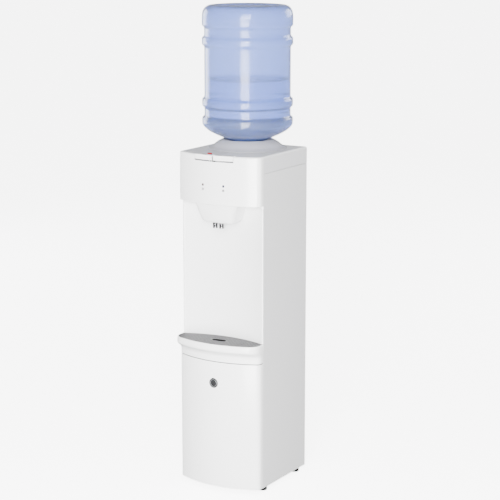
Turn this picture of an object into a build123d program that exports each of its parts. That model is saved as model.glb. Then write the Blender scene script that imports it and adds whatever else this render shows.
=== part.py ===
from build123d import *
import os
from math import cos, radians, sin, sqrt

# Free-standing bottled-water dispenser, top loading, with a hot and a cold faucet.
# Millimetres, +Z up, front towards -Y, origin on the floor under the middle of the cabinet.

os.makedirs("parts", exist_ok=True)

# Cabinet
cabinet_width = 280.0
cabinet_depth = 316.0
foot_height = 12.0
door_height = 391.0
apron_height = 59.0
niche_height = 416.0
head_height = 145.0
cover_skirt = 50.5
bow_depth = 35.335
bow_corner = 17.0
shell_side = 19.665
niche_depth = 83.0
wall = 2.5
sheet = 1.0
seam = 1.0
fit = 0.2
play = 0.5
edge_round = 6.0
tongue = 12.0

half_width = cabinet_width / 2
bow_radius = (half_width**2 + bow_depth**2) / (2 * bow_depth)
front = -cabinet_depth / 2
back = cabinet_depth / 2
seam_y = front + bow_depth + shell_side
niche_y = front + niche_depth
z_base = foot_height
z_door = z_base + door_height
z_tray = z_door + apron_height
z_head = z_tray + niche_height
z_top = z_head + head_height
z_skirt = z_top - cover_skirt
panel_top = z_skirt - seam
back_outer = back
back_inner = back - sheet

# Drip tray and its rim
rim_overhang = 25.0
rim_side = 3.0
rim_bow_depth = 33.73
rim_corner = 40.0
rim_lip = 3.5
tray_depth = 18.0
tray_wall = 2.0
tray_ledge = 3.0
grille_thickness = 2.5
finger_slot_length = 40.0
finger_slot_width = 18.0

# Buttons, lock and valves
button_half_span = 66.0
button_gap = 4.6
button_height = 15.0
button_depth = 19.0
button_travel = 3.0
lock_travel = 10.0
lock_length = 14.0
valve_x = 11.0
valve_y = front + 32.0
valve_width = 20.0
nozzle_radius = 7.5
nozzle_drop = 75.0
shroud_drop = 56.0
shroud_half_top = 70.0
shroud_half_bottom = 52.0
rod_radius = 2.5

# Indicators and badge
indicator_x = 35.0
indicator_z = z_head + 57.0
indicator_radius = 2.0
badge_radius = 15.0
badge_z = z_base + 324.0
badge_recess = wall / 2
badge_rise = 0.8

# Bottle, collar and probe
bottle_y = (niche_y + back) / 2
rib_radius = 136.0
waist_radius = 129.0
bottle_wall = 1.6
neck_radius = 27.5
bottle_top_rise = 399.0
shoulder_rise = 47.0
water_rise = 180.0
neck_length = 60.0
lower_rises = (18, 24, 48, 54, 74, 80)
upper_drops = (122, 116, 96, 90, 66, 60, 30)
top_round = 30.0
collar_height = 28.0
collar_base_radius = 118.0
collar_seat_radius = 77.0
collar_gap = 0.3
throat_radius = 33.0
throat_depth = 81.0
probe_radius = 9.0
probe_bore = 6.0
spigot_radius = 88.0

# Tanks
insulation_radius = min((back - niche_y) / 2 - 9.0, half_width - 12.0)
foam_wall = 14.0
coil_radius = 4.0
tank_wall = 1.2
tank_radius = insulation_radius - foam_wall - 2 * coil_radius - 1.0
tank_height = 168.0
tank_top = z_skirt - 5.0
tank_bottom = tank_top - tank_height
hot_radius = 50.0
hot_height = 150.0
shelf_z = z_tray + 83.0
hot_y = bottle_y + 10.0
tube_radius = 4.0
tube_bore = 2.8
spout_length = 16.0
spout_bore = 1.4

# Refrigeration, electrics and feet
compressor_radius = 66.0
compressor_height = 150.0
grommet_height = 14.0
compressor_y = 62.0 * cabinet_depth / 316.0
pipe_radius = 2.5
condenser_half = 112.0
condenser_low = 120.0
condenser_pitch = 56.0
condenser_runs = 12
condenser_reach = 25.0
wire_radius = 0.8
switch_x = 15.0
switch_z = z_head - 28.0
switch_width = 12.0
switch_height = 22.0
switch_tilt = 8.0
gland_radius = 6.0
drain_radius = 8.0
foot_x = half_width - 15.0
foot_front_y = front + 78.0
foot_back_y = back - 40.0
foot_radius = 10.0
stud_radius = 3.0


def finish(builder, name):
    """Name a finished piece and write it out."""
    builder.part.label = name
    export_step(builder.part, f"parts/{name}.step")


def bow_side(half, front_y, radius):
    """Where a bowed front of this radius reaches its side."""
    return front_y + radius - sqrt(radius**2 - half**2)


def bow_face(half, front_y, radius, corner, back_y):
    """A plan outline with a bowed front, rounded front corners and a square back."""
    side_y = bow_side(half, front_y, radius)
    with BuildSketch(mode=Mode.PRIVATE) as plan:
        with BuildLine():
            ThreePointArc((-half, side_y), (0, front_y), (half, side_y))
            Polyline((half, side_y), (half, back_y), (-half, back_y), (-half, side_y))
        make_face()
        fillet(plan.vertices().group_by(Axis.Y)[0], corner)
    return plan.sketch


def cabinet_plan(inset, back_y):
    """The cabinet's plan outline, drawn in by an even amount."""
    return bow_face(half_width - inset, front + inset, bow_radius - inset, bow_corner - inset, back_y)


def behind_arc(half, side_y, middle_y, back_y):
    """Everything behind an arc that bends backwards in the middle."""
    with BuildSketch(mode=Mode.PRIVATE) as plan:
        with BuildLine():
            ThreePointArc((-half, side_y), (0, middle_y), (half, side_y))
            Polyline((half, side_y), (half, back_y), (-half, back_y), (-half, side_y))
        make_face()
    return plan.sketch


def tongues(half, low, high, y_low, y_high):
    """Two upright tabs that slip inside the steel side panels."""
    for side in (-1, 1):
        with Locations((side * (half - wall / 2), (y_low + y_high) / 2, low)):
            Box(wall, y_high - y_low, high - low, align=(Align.CENTER, Align.CENTER, Align.MIN))


far = cabinet_depth
niche_side_y = seam_y - wall - 2 * fit
niche_half = half_width - fit
tongue_half = half_width - sheet - fit
button_back_y = front + button_depth
rim_front = front - rim_overhang
rim_half = half_width + rim_side
rim_radius = (rim_half**2 + rim_bow_depth**2) / (2 * rim_bow_depth)


def niche_cut(shift):
    """The space behind the niche's curved face, moved forward by a clearance."""
    return behind_arc(niche_half + 20, niche_arc_side(niche_half + 20) - shift, niche_y - shift, far)


def niche_arc_side(half):
    """Where the niche's arc lies at a given half width."""
    sag = niche_y - niche_side_y
    radius = (niche_half**2 + sag**2) / (2 * sag)
    return niche_y - radius + sqrt(radius**2 - half**2)


def lens(inset):
    """The drip tray's outline: bowed towards the front, hollow along the niche's face."""
    with BuildSketch(mode=Mode.PRIVATE) as plan:
        add(bow_face(rim_half - inset, rim_front + inset, rim_radius - inset, rim_corner - inset, far / 2))
        add(niche_cut(inset - rim_lip + play), mode=Mode.SUBTRACT)
    return plan.sketch


# Base pan: pressed floor with upturned front and back edges and four weld nuts
pan_half = half_width - sheet - fit
pan_front = seam_y + play
pan_back = back_inner - fit
flange_height = 22.0
flange_half = half_width - 20.0
nut_radius = 5.0
nut_height = 6.0
feet = [(x, y) for y in (foot_front_y, foot_back_y) for x in (-foot_x, foot_x)]
grommets = [(x, compressor_y + y) for y in (-46.0, 46.0) for x in (-58.0, 58.0)]
with BuildPart() as base_pan:
    with BuildSketch(Plane.XY.offset(z_base)):
        with Locations((0, (pan_front + pan_back) / 2)):
            Rectangle(2 * pan_half, pan_back - pan_front)
    extrude(amount=sheet)
    with BuildSketch(Plane.XY.offset(z_base + sheet)):
        for y in (pan_front + sheet / 2, pan_back - sheet / 2):
            with Locations((0, y)):
                Rectangle(2 * flange_half, sheet)
    extrude(amount=flange_height)
    with BuildSketch(Plane.XY.offset(z_base + sheet)):
        with Locations(*feet):
            RegularPolygon(nut_radius, 6)
    extrude(amount=nut_height)
    with BuildSketch(Plane.XY.offset(z_base)):
        with Locations(*feet):
            Circle(stud_radius + fit)
    extrude(amount=nut_height + sheet, mode=Mode.SUBTRACT)
finish(base_pan, "base_pan")

# Four levelling feet: round pads on threaded studs
for index, (x, y) in enumerate(feet):
    with BuildPart() as foot:
        with Locations((x, y)):
            Cylinder(foot_radius, foot_height - play, align=(Align.CENTER, Align.CENTER, Align.MIN))
        fillet(foot.edges().group_by(Axis.Z)[0], 1.5)
        with Locations((x, y)):
            Cylinder(stud_radius, foot_height + nut_height + 6, align=(Align.CENTER, Align.CENTER, Align.MIN))
    finish(foot, ("foot_front_left", "foot_front_right", "foot_rear_left", "foot_rear_right")[index])

# Steel side panels: flat sheets with flanges turned in at the back, foot and head
panel_front = seam_y + fit
side_flange = 14.0
foot_flange = 8.0
for side, name in ((-1, "left_side_panel"), (1, "right_side_panel")):
    with BuildPart() as side_panel:
        with BuildSketch(Plane.XY.offset(z_base)):
            with Locations((side * (half_width - sheet / 2), (panel_front + back_inner) / 2)):
                Rectangle(sheet, back_inner - panel_front)
            with Locations((side * (half_width - side_flange / 2), back_inner - sheet / 2)):
                Rectangle(side_flange, sheet)
        extrude(amount=panel_top - z_base)
        for z in (z_base + sheet, panel_top - sheet):
            with BuildSketch(Plane.XY.offset(z)):
                with Locations((side * (half_width - foot_flange / 2), seam_y / 2 + tongue + back_inner / 2)):
                    Rectangle(foot_flange, back_inner - seam_y - 2 * tongue)
            extrude(amount=sheet)
        with BuildSketch(Plane.XY.offset(z_base)):
            with Locations((side * (half_width - sheet - side_flange / 2), back_inner - sheet / 2)):
                Rectangle(side_flange, sheet + 3 * fit)
        extrude(amount=sheet + flange_height + fit, mode=Mode.SUBTRACT)
    finish(side_panel, name)

# Back panel: flat sheet with louvres and the openings for pipes, switches, drain and cord
condenser_high = condenser_low + condenser_pitch * (condenser_runs - 1)
condenser_y = back + condenser_reach - pipe_radius - 2 * wire_radius + 0.3
drain_x = -95.0 * cabinet_width / 280.0
drain_z = z_base + 58.0
gland_x = 95.0 * cabinet_width / 280.0
gland_z = z_base + 58.0
pipe_x = condenser_half
louvre_width = 60.0
plate_width = 64.0
plate_height = 40.0
with BuildPart() as back_panel:
    with BuildSketch(Plane.XZ.offset(-back_outer)):
        with Locations((0, (z_base + panel_top) / 2)):
            Rectangle(cabinet_width - 2 * fit, panel_top - z_base)
        with Locations((pipe_x, condenser_high)):
            Circle(pipe_radius + 1, mode=Mode.SUBTRACT)
        with Locations((drain_x, drain_z)):
            Circle(drain_radius + fit, mode=Mode.SUBTRACT)
        with Locations((gland_x, gland_z)):
            Circle(gland_radius + fit, mode=Mode.SUBTRACT)
        with Locations((0, switch_z)):
            Rectangle(plate_width - 8, plate_height - 8, mode=Mode.SUBTRACT)
        with Locations((0, z_base + 62)):
            with GridLocations(louvre_width + 14, 9, 2, 5):
                SlotOverall(louvre_width, 3.5, mode=Mode.SUBTRACT)
    extrude(amount=sheet)
finish(back_panel, "back_panel")

# Lower front panel: bowed shell with top and bottom returns
with BuildPart() as lower_front_panel:
    with BuildSketch(Plane.XY.offset(z_base)):
        add(cabinet_plan(0, seam_y))
    extrude(amount=door_height - seam)
    with BuildSketch(Plane.XY.offset(z_base + wall)):
        add(cabinet_plan(wall, far))
    extrude(amount=door_height - seam - 2 * wall, mode=Mode.SUBTRACT)
    tongues(tongue_half, z_base + wall, z_door - seam - wall, seam_y - 6, seam_y + tongue)
    with Locations(Plane.XZ.offset(-front).location * Location((0, badge_z, 0))):
        Cylinder(badge_radius + fit, 2 * badge_recess, mode=Mode.SUBTRACT)
finish(lower_front_panel, "lower_front_panel")

# Blank round badge let into the lower front panel
with BuildPart() as badge:
    with BuildSketch(Plane.XZ.offset(-front - badge_recess + fit)):
        with Locations((0, badge_z)):
            Circle(badge_radius)
    extrude(amount=badge_recess + badge_rise)
    chamfer(badge.edges().group_by(Axis.Y)[0], 0.5)
finish(badge, "badge")

# Tray apron: sweeps out from the cabinet's bow to the tray's rim, with a pocket for the tray
# (height over the apron's height, share of the way out to the rim)
flare = [(0, 0), (0.32, 0), (0.43, 0.12), (0.53, 0.5), (0.61, 0.86), (0.678, 1), (0.949, 1), (1, 0.94)]
pocket_floor = z_tray - tray_depth - 2 * play
deck_back = niche_y + wall + 5
with BuildPart() as tray_apron:
    for height, share in flare:
        with BuildSketch(Plane.XY.offset(z_door + height * apron_height)):
            add(
                bow_face(
                    half_width + rim_side * share,
                    front - rim_overhang * share,
                    bow_radius + (rim_radius - bow_radius) * share,
                    bow_corner + (rim_corner - bow_corner) * share,
                    seam_y,
                )
            )
    loft(ruled=True)
    with BuildSketch(Plane.XY.offset(pocket_floor - wall)):
        with Locations((0, (seam_y - 6 + deck_back) / 2)):
            Rectangle(2 * tongue_half, deck_back - seam_y + 6)
    extrude(amount=z_tray - pocket_floor + wall)
    with BuildSketch(Plane.XY.offset(z_door - 1)):
        add(cabinet_plan(wall, seam_y + 1))
    extrude(amount=pocket_floor - wall - z_door + 1, mode=Mode.SUBTRACT)
    with BuildSketch(Plane.XY.offset(pocket_floor)):
        add(lens(rim_lip))
    extrude(amount=z_tray - pocket_floor + 1, mode=Mode.SUBTRACT)
finish(tray_apron, "tray_apron")

# Lift-out drip tray with a ledge for its grille
tray_inset = rim_lip + play
grille_top = z_tray - play
grille_bottom = grille_top - grille_thickness
tray_bottom = pocket_floor + fit
with BuildPart() as drip_tray:
    with BuildSketch(Plane.XY.offset(tray_bottom)):
        add(lens(tray_inset))
    extrude(amount=grille_top - tray_bottom)
    with BuildSketch(Plane.XY.offset(grille_bottom - fit)):
        add(lens(tray_inset + tray_wall))
    extrude(amount=grille_thickness + 1, mode=Mode.SUBTRACT)
    with BuildSketch(Plane.XY.offset(tray_bottom + tray_wall)):
        add(lens(tray_inset + tray_wall + tray_ledge))
    extrude(amount=tray_depth, mode=Mode.SUBTRACT)
finish(drip_tray, "drip_tray")

# Perforated grille with a finger slot under the faucets
grille_inset = tray_inset + tray_wall + play
slot_pitch_x = 8.0
slot_pitch_y = 13.0
with BuildPart() as drip_grille:
    with BuildSketch(Plane.XY.offset(grille_bottom)):
        add(lens(grille_inset))
    extrude(amount=grille_thickness)
    with BuildSketch(Plane.XY.offset(grille_bottom)):
        with Locations((0, (rim_front + niche_y) / 2)):
            with GridLocations(slot_pitch_x, slot_pitch_y, int(2 * rim_half / slot_pitch_x), 9):
                Rectangle(3, 8)
        add(lens(grille_inset + tray_ledge + 3), mode=Mode.INTERSECT)
        with Locations((0, valve_y)):
            SlotOverall(finger_slot_length + 12, finger_slot_width + 12, mode=Mode.SUBTRACT)
            SlotOverall(finger_slot_length, finger_slot_width)
    extrude(amount=grille_thickness, mode=Mode.SUBTRACT)
finish(drip_grille, "drip_grille")

# Niche panel: curved back wall of the dispensing space
with BuildPart() as niche_panel:
    with BuildSketch(Plane.XY.offset(z_tray + fit)):
        with BuildLine():
            front_arc = ThreePointArc((-niche_half, niche_side_y), (0, niche_y), (niche_half, niche_side_y))
            back_arc = ThreePointArc(
                (-niche_half, niche_side_y + wall), (0, niche_y + wall), (niche_half, niche_side_y + wall)
            )
            Line(front_arc @ 0, back_arc @ 0)
            Line(front_arc @ 1, back_arc @ 1)
        make_face()
    extrude(amount=niche_height - 2 * fit)
    tongues(tongue_half, z_tray + fit, z_head - fit, niche_side_y + wall / 2, seam_y + tongue)
finish(niche_panel, "niche_panel")

# Head: one rounded block is the outside of both the head panel and the top cover
with BuildPart() as head_block:
    with BuildSketch(Plane.XY.offset(z_head)):
        add(cabinet_plan(0, back_outer))
    extrude(amount=head_height)
    fillet(head_block.faces().sort_by(Axis.Z)[-1].edges(), edge_round)

with BuildPart() as head_hollow:
    with BuildSketch(Plane.XY.offset(z_head + wall)):
        add(cabinet_plan(wall, back_outer - wall))
    extrude(amount=head_height - 2 * wall)
    fillet(head_hollow.faces().sort_by(Axis.Z)[-1].edges(), edge_round - wall)

# The parting line runs from the side seams round the back of the buttons
parting_y = button_back_y + play
valve_cut_half = valve_x + valve_width / 2 + 1
valve_cut_low = valve_y - 15.0
valve_cut_high = valve_y + 15.0
with BuildPart() as head_panel:
    add(head_block.part)
    add(head_hollow.part, mode=Mode.SUBTRACT)
    with BuildSketch(Plane.XY.offset(z_head + wall)):
        with Locations((0, far / 2 + seam_y)):
            Rectangle(2 * cabinet_width, far)
    extrude(amount=panel_top - z_head, mode=Mode.SUBTRACT)
    with BuildSketch(Plane.XY.offset(panel_top)):
        add(behind_arc(half_width, seam_y, parting_y, far))
        with Locations((0, far / 2 + seam_y)):
            Rectangle(2 * cabinet_width, far)
    extrude(amount=head_height, mode=Mode.SUBTRACT)
    with BuildSketch(Plane.XY.offset(z_head)):
        add(niche_cut(-2 * wall))
        for side in (-1, 1):
            with Locations((side * (tongue_half + far / 2), seam_y + far / 2)):
                Rectangle(far, far)
    extrude(amount=wall, mode=Mode.SUBTRACT)
    with BuildSketch(Plane.XY.offset(z_head)):
        with Locations((0, valve_y)):
            Rectangle(2 * valve_cut_half, valve_cut_high - valve_cut_low)
    extrude(amount=wall, mode=Mode.SUBTRACT)
    with BuildSketch(Plane.XY.offset(z_top - button_height - button_travel)):
        with Locations((0, front)):
            Rectangle(2 * (button_half_span + play), 2 * button_depth + 20)
    extrude(amount=2 * button_height, mode=Mode.SUBTRACT)
    with Locations((-indicator_x, front, indicator_z), (indicator_x, front, indicator_z)):
        Cylinder(indicator_radius + fit / 2, 20, rotation=(90, 0, 0), mode=Mode.SUBTRACT)
    tongues(tongue_half, z_head + 4 * wall, panel_top - 2 * sheet, seam_y - 6, seam_y + tongue)
finish(head_panel, "head_panel")

# Top cover: skirted lid with the collar's opening and the lock's slot
opening_radius = spigot_radius + 2 * play
lock_x = -27.0
lock_y = button_back_y + 9.0
lock_width = 6.0
with BuildPart() as top_cover:
    add(head_block.part)
    add(head_hollow.part, mode=Mode.SUBTRACT)
    with BuildSketch(Plane.XY.offset(z_head)):
        with Locations((0, 0)):
            Rectangle(2 * cabinet_width, 2 * cabinet_depth)
    extrude(amount=z_skirt - z_head, mode=Mode.SUBTRACT)
    with BuildSketch(Plane.XY.offset(z_skirt)):
        Rectangle(2 * cabinet_width, 2 * cabinet_depth)
        add(behind_arc(half_width, seam_y + fit, parting_y + fit, far), mode=Mode.SUBTRACT)
    extrude(amount=cover_skirt, mode=Mode.SUBTRACT)
    with BuildSketch(Plane.XY.offset(z_skirt)):
        with Locations((0, bottle_y)):
            Circle(opening_radius)
        with Locations((lock_x + lock_travel / 2, lock_y)):
            Rectangle(lock_length + lock_travel + 2 * play, lock_width + 2 * play)
    extrude(amount=cover_skirt, mode=Mode.SUBTRACT)
finish(top_cover, "top_cover")

# Faucet shroud: tapered nose under the head, open at the top and back
shroud_top = z_head - fit
shroud_bottom = z_head - shroud_drop
shroud_back = niche_y - 8.0
with BuildPart() as faucet_shroud:
    for height, half, face_y in (
        (shroud_bottom, shroud_half_bottom, front + 18),
        (shroud_top, shroud_half_top, front + 3),
    ):
        with BuildSketch(Plane.XY.offset(height)):
            add(bow_face(half, face_y, bow_radius, 14, shroud_back))
    loft(ruled=True)
    fillet(faucet_shroud.faces().sort_by(Axis.Z)[0].edges(), 4)
    for height, half, face_y in (
        (shroud_bottom + wall, shroud_half_bottom - wall, front + 18 + wall),
        (shroud_top, shroud_half_top - wall, front + 3 + wall),
    ):
        with BuildSketch(Plane.XY.offset(height)):
            add(bow_face(half, face_y, bow_radius - wall, 11.5, shroud_back + 1))
    loft(ruled=True, mode=Mode.SUBTRACT)
    with BuildSketch(Plane.XY.offset(shroud_bottom)):
        with Locations((-valve_x, valve_y), (valve_x, valve_y)):
            Circle(nozzle_radius + play)
    extrude(amount=wall, mode=Mode.SUBTRACT)
finish(faucet_shroud, "faucet_shroud")

# Valves: bodies hung by flanges in the head's floor, with rods and arms up to the buttons
valve_bottom = z_head - 28.0
valve_height = 50.0
valve_port_z = valve_bottom + valve_height - 8.0
flange_z = z_head + wall
valve_depth = 26.0
bore_depth = 14.0
valve_flange = 3.0
nozzle_collar = 5.0
nozzle_wall = 2.0
button_low = z_top - button_height + 1.0
arm_thickness = 4.0
arm_width = 12.0
arm_front = button_back_y - 6.0
arm_back = valve_y + 8.0
arm_low = button_low - arm_thickness
for side, word in ((-1, "hot"), (1, "cold")):
    with BuildPart() as valve:
        with BuildSketch(Plane.XY.offset(valve_bottom)):
            with Locations((side * valve_x, valve_y)):
                RectangleRounded(valve_width, valve_depth, 3)
        extrude(amount=valve_height)
        with BuildSketch(Plane.XY.offset(flange_z)):
            with Locations((side * valve_x, valve_y)):
                Rectangle(valve_width + 1, valve_cut_high - valve_cut_low + 8)
        extrude(amount=valve_flange)
        with BuildSketch(Plane.XZ.offset(-valve_y - valve_depth / 2)):
            with Locations((side * valve_x, valve_port_z)):
                Circle(tube_bore - fit)
        extrude(amount=-12)
        with BuildSketch(Plane.XY.offset(valve_bottom + valve_height - bore_depth)):
            with Locations((side * valve_x, valve_y)):
                Circle(rod_radius + play)
        extrude(amount=bore_depth, mode=Mode.SUBTRACT)
    finish(valve, f"{word}_valve")

    with BuildPart() as nozzle:
        with BuildSketch(Plane.XY.offset(z_head - nozzle_drop)):
            with Locations((side * valve_x, valve_y)):
                Circle(nozzle_radius)
        extrude(amount=valve_bottom - z_head + nozzle_drop)
        with BuildSketch(Plane.XY.offset(valve_bottom - nozzle_collar)):
            with Locations((side * valve_x, valve_y)):
                Circle(nozzle_radius + 1.5)
        extrude(amount=nozzle_collar)
        with BuildSketch(Plane.XY.offset(z_head - nozzle_drop)):
            with Locations((side * valve_x, valve_y)):
                Circle(nozzle_radius - nozzle_wall)
        extrude(amount=nozzle_drop, mode=Mode.SUBTRACT)
        chamfer(nozzle.edges().group_by(Axis.Z)[0], 0.6)
    finish(nozzle, f"{word}_nozzle")

    rod_bottom = valve_bottom + valve_height - bore_depth + button_travel + 1
    with BuildPart() as valve_rod:
        with BuildSketch(Plane.XY.offset(rod_bottom)):
            with Locations((side * valve_x, valve_y)):
                Circle(rod_radius)
        extrude(amount=arm_low - rod_bottom)
        with BuildSketch(Plane.XY.offset(arm_low)):
            with Locations((side * valve_x, (arm_front + arm_back) / 2)):
                Rectangle(arm_width, arm_back - arm_front)
        extrude(amount=arm_thickness)
    finish(valve_rod, f"{word}_valve_rod")

    centre = side * (button_gap / 2 + button_half_span) / 2
    with BuildPart() as button:
        with BuildSketch(Plane.XY.offset(button_low)):
            add(cabinet_plan(0, seam_y))
            add(behind_arc(half_width, seam_y - 2 * play, button_back_y - play, far), mode=Mode.SUBTRACT)
            with Locations((centre, front)):
                Rectangle(button_half_span - button_gap / 2, 4 * button_depth, mode=Mode.INTERSECT)
        extrude(amount=button_height)
        fillet(button.edges().group_by(Axis.Z)[-1], 1.6)
    finish(button, f"{word}_button")

# Child lock: red slide with a wider foot that holds it in its slot
lock_low = z_top - wall - play
lock_rise = 3.5
lock_foot = 1.5
with BuildPart() as child_lock_tab:
    with BuildSketch(Plane.XY.offset(lock_low)):
        with Locations((lock_x, lock_y)):
            Rectangle(lock_length, lock_width)
    extrude(amount=z_top + lock_rise - lock_low)
    fillet(child_lock_tab.edges().group_by(Axis.Z)[-1], 1.2)
    with BuildSketch(Plane.XY.offset(lock_low - lock_foot)):
        with Locations((lock_x, lock_y)):
            Rectangle(lock_length, 2 * lock_width)
    extrude(amount=lock_foot)
finish(child_lock_tab, "child_lock_tab")

# Indicator lenses on the board behind the head panel
board_y = front + 14.0
board_width = 100.0
board_height = 34.0
board_thickness = 1.6
for side, word in ((-1, "hot"), (1, "cold")):
    face_y = front + bow_radius - sqrt(bow_radius**2 - indicator_x**2)
    with BuildPart() as indicator:
        with BuildSketch(Plane.XZ.offset(-board_y)):
            with Locations((side * indicator_x, indicator_z)):
                Circle(indicator_radius)
        extrude(amount=board_y - face_y + 0.3)
    finish(indicator, f"{word}_indicator")

# Control board, held to the head panel by two posts
with BuildPart() as control_board:
    with BuildSketch(Plane.XZ.offset(-board_y - board_thickness)):
        with Locations((0, indicator_z)):
            Rectangle(board_width, board_height)
    extrude(amount=board_thickness)
    with BuildSketch(Plane.XZ.offset(-board_y - board_thickness)):
        with Locations((-15, indicator_z - 8), (15, indicator_z - 8)):
            Rectangle(14, 9)
    extrude(amount=-4)
    with BuildSketch(Plane.XZ.offset(-board_y)):
        with Locations((0, indicator_z - 10), (0, indicator_z + 10)):
            Circle(3)
    extrude(amount=board_y - front - wall - fit)
finish(control_board, "control_board")

# Bottle: hollow, upside down, with ribs, a round shoulder and a straight neck
z_seat = z_top + collar_height
bottle_top = z_seat + bottle_top_rise
rib_low = z_seat + shoulder_rise
neck_top = z_seat - 33.0
mouth_z = neck_top - neck_length
water_level = z_seat + water_rise
cone_drop = 20.8


def bottle_face(inset, level):
    """Half section of the bottle, radius against height, drawn in by an inset and cut at a level."""
    rib = rib_radius - inset
    waist = waist_radius - inset
    neck = neck_radius - inset
    lift = 0.88 * inset
    narrow = 0.47 * inset
    heights = [rib_low + rise for rise in lower_rises] + [bottle_top - drop for drop in upper_drops]
    radii = (rib, waist, waist, rib, rib, waist, waist, rib, rib, waist, waist, rib, rib)
    seat = (collar_seat_radius - narrow, z_seat + lift)
    knee = (rib_radius - 18 - 0.8 * inset, rib_low - 22.6 + 0.6 * inset)
    bend = top_round - inset
    crown_r = rib_radius - top_round
    crown_z = bottle_top - top_round
    with BuildSketch(mode=Mode.PRIVATE) as half:
        with BuildLine():
            Polyline(
                (0, mouth_z),
                (neck, mouth_z),
                (neck, neck_top),
                (collar_seat_radius / 2 - narrow, z_seat - cone_drop + lift),
                seat,
            )
            ThreePointArc(seat, knee, (rib, rib_low))
            Polyline((rib, rib_low), *zip(radii, heights))
            ThreePointArc(
                (rib, crown_z),
                (crown_r + bend * cos(radians(45)), crown_z + bend * sin(radians(45))),
                (crown_r, crown_z + bend),
            )
            Polyline((crown_r, crown_z + bend), (0, crown_z + bend), (0, mouth_z))
        make_face()
        with Locations((0, level)):
            Rectangle(4 * rib_radius, bottle_top, align=(Align.CENTER, Align.MIN), mode=Mode.SUBTRACT)
    return half.sketch


bottle_axis = Axis((0, bottle_y, 0), (0, 0, 1))
bottle_plane = Plane(origin=(0, bottle_y, 0), x_dir=(1, 0, 0), z_dir=(0, -1, 0))
with BuildPart() as water_bottle:
    with BuildSketch(bottle_plane):
        add(bottle_face(0, 2 * bottle_top))
    revolve(axis=bottle_axis)
    with BuildSketch(bottle_plane):
        add(bottle_face(bottle_wall, 2 * bottle_top))
    revolve(axis=bottle_axis, mode=Mode.SUBTRACT)
finish(water_bottle, "water_bottle")

# Water left in the bottle, filling it from the cap to its level
cap_floor = 2.0
cap_skirt = 24.0
probe_play = 0.6
well_radius = probe_radius + probe_play + 1.4
well_rise = 28.0
probe_rise = 36.0
with BuildPart() as water_fill:
    with BuildSketch(bottle_plane):
        add(bottle_face(bottle_wall + fit, water_level))
    revolve(axis=bottle_axis)
    with BuildSketch(Plane.XY.offset(mouth_z - 1)):
        with Locations((0, bottle_y)):
            Circle(neck_radius)
    extrude(amount=probe_rise + 3, mode=Mode.SUBTRACT)
finish(water_fill, "water_fill")

# Bottle cap: skirt outside the neck and a well that takes the probe
cap_radius = neck_radius + 2.5
with BuildPart() as bottle_cap:
    with BuildSketch(Plane.XY.offset(mouth_z - fit - cap_floor)):
        with Locations((0, bottle_y)):
            Circle(cap_radius)
    extrude(amount=cap_floor + cap_skirt)
    with BuildSketch(Plane.XY.offset(mouth_z - fit)):
        with Locations((0, bottle_y)):
            Circle(neck_radius + fit)
    extrude(amount=cap_skirt + cap_floor, mode=Mode.SUBTRACT)
    with BuildSketch(Plane.XY.offset(mouth_z - fit - cap_floor)):
        with Locations((0, bottle_y)):
            Circle(well_radius)
    extrude(amount=cap_floor + well_rise)
    with BuildSketch(Plane.XY.offset(mouth_z - 2 * cap_floor)):
        with Locations((0, bottle_y)):
            Circle(probe_radius + probe_play)
    extrude(amount=2 * well_rise, mode=Mode.SUBTRACT)
finish(bottle_cap, "bottle_cap")

# Collar: cone over the cover's opening, a funnel for the shoulder and a throat for the neck
collar_low = z_top + collar_gap
throat_bottom = z_top - throat_depth
funnel_drop = z_seat - cone_drop - 2 * collar_gap
with BuildPart() as bottle_collar:
    with BuildSketch(bottle_plane):
        with BuildLine():
            Polyline(
                (collar_base_radius, collar_low),
                (collar_base_radius, collar_low + 2),
                (collar_seat_radius + 4, z_seat),
                (collar_seat_radius + 1, z_seat),
                (collar_seat_radius, z_seat - 2 * collar_gap),
                (collar_seat_radius / 2 + 1.5, funnel_drop),
                (throat_radius, neck_top + 2),
                (throat_radius, throat_bottom + wall),
                (probe_radius - 2, throat_bottom + wall),
                (probe_radius - 2, throat_bottom),
                (throat_radius + wall, throat_bottom),
                (throat_radius + wall, neck_top),
                (collar_seat_radius / 2 + 4.5, funnel_drop - wall),
                (collar_seat_radius + 1, z_seat - 4.5),
                (collar_base_radius - 8, collar_low),
                (collar_base_radius, collar_low),
            )
        make_face()
    revolve(axis=bottle_axis)
    with BuildSketch(Plane.XY.offset(z_top - 2 * wall)):
        with Locations((0, bottle_y)):
            Circle(spigot_radius)
            Circle(spigot_radius - wall, mode=Mode.SUBTRACT)
    extrude(amount=2 * wall + 20)
finish(bottle_collar, "bottle_collar")

# Feed probe: hollow spike that opens the cap and lets water down and air up
with BuildPart() as feed_probe:
    with BuildSketch(Plane.XY.offset(throat_bottom + wall)):
        with Locations((0, bottle_y)):
            Circle(probe_radius + 6)
            Circle(probe_bore, mode=Mode.SUBTRACT)
    extrude(amount=2)
    with BuildSketch(Plane.XY.offset(throat_bottom + wall)):
        with Locations((0, bottle_y)):
            Circle(probe_radius)
            Circle(probe_bore, mode=Mode.SUBTRACT)
    extrude(amount=mouth_z - throat_bottom - wall + probe_rise)
    fillet(feed_probe.edges().group_by(Axis.Z)[-1], 1)
    with BuildSketch(Plane.XZ.offset(-bottle_y)):
        with Locations((0, mouth_z + 24)):
            SlotOverall(14, 5, rotation=90)
    extrude(amount=probe_radius + 2, both=True, mode=Mode.SUBTRACT)
finish(feed_probe, "feed_probe")

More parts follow.
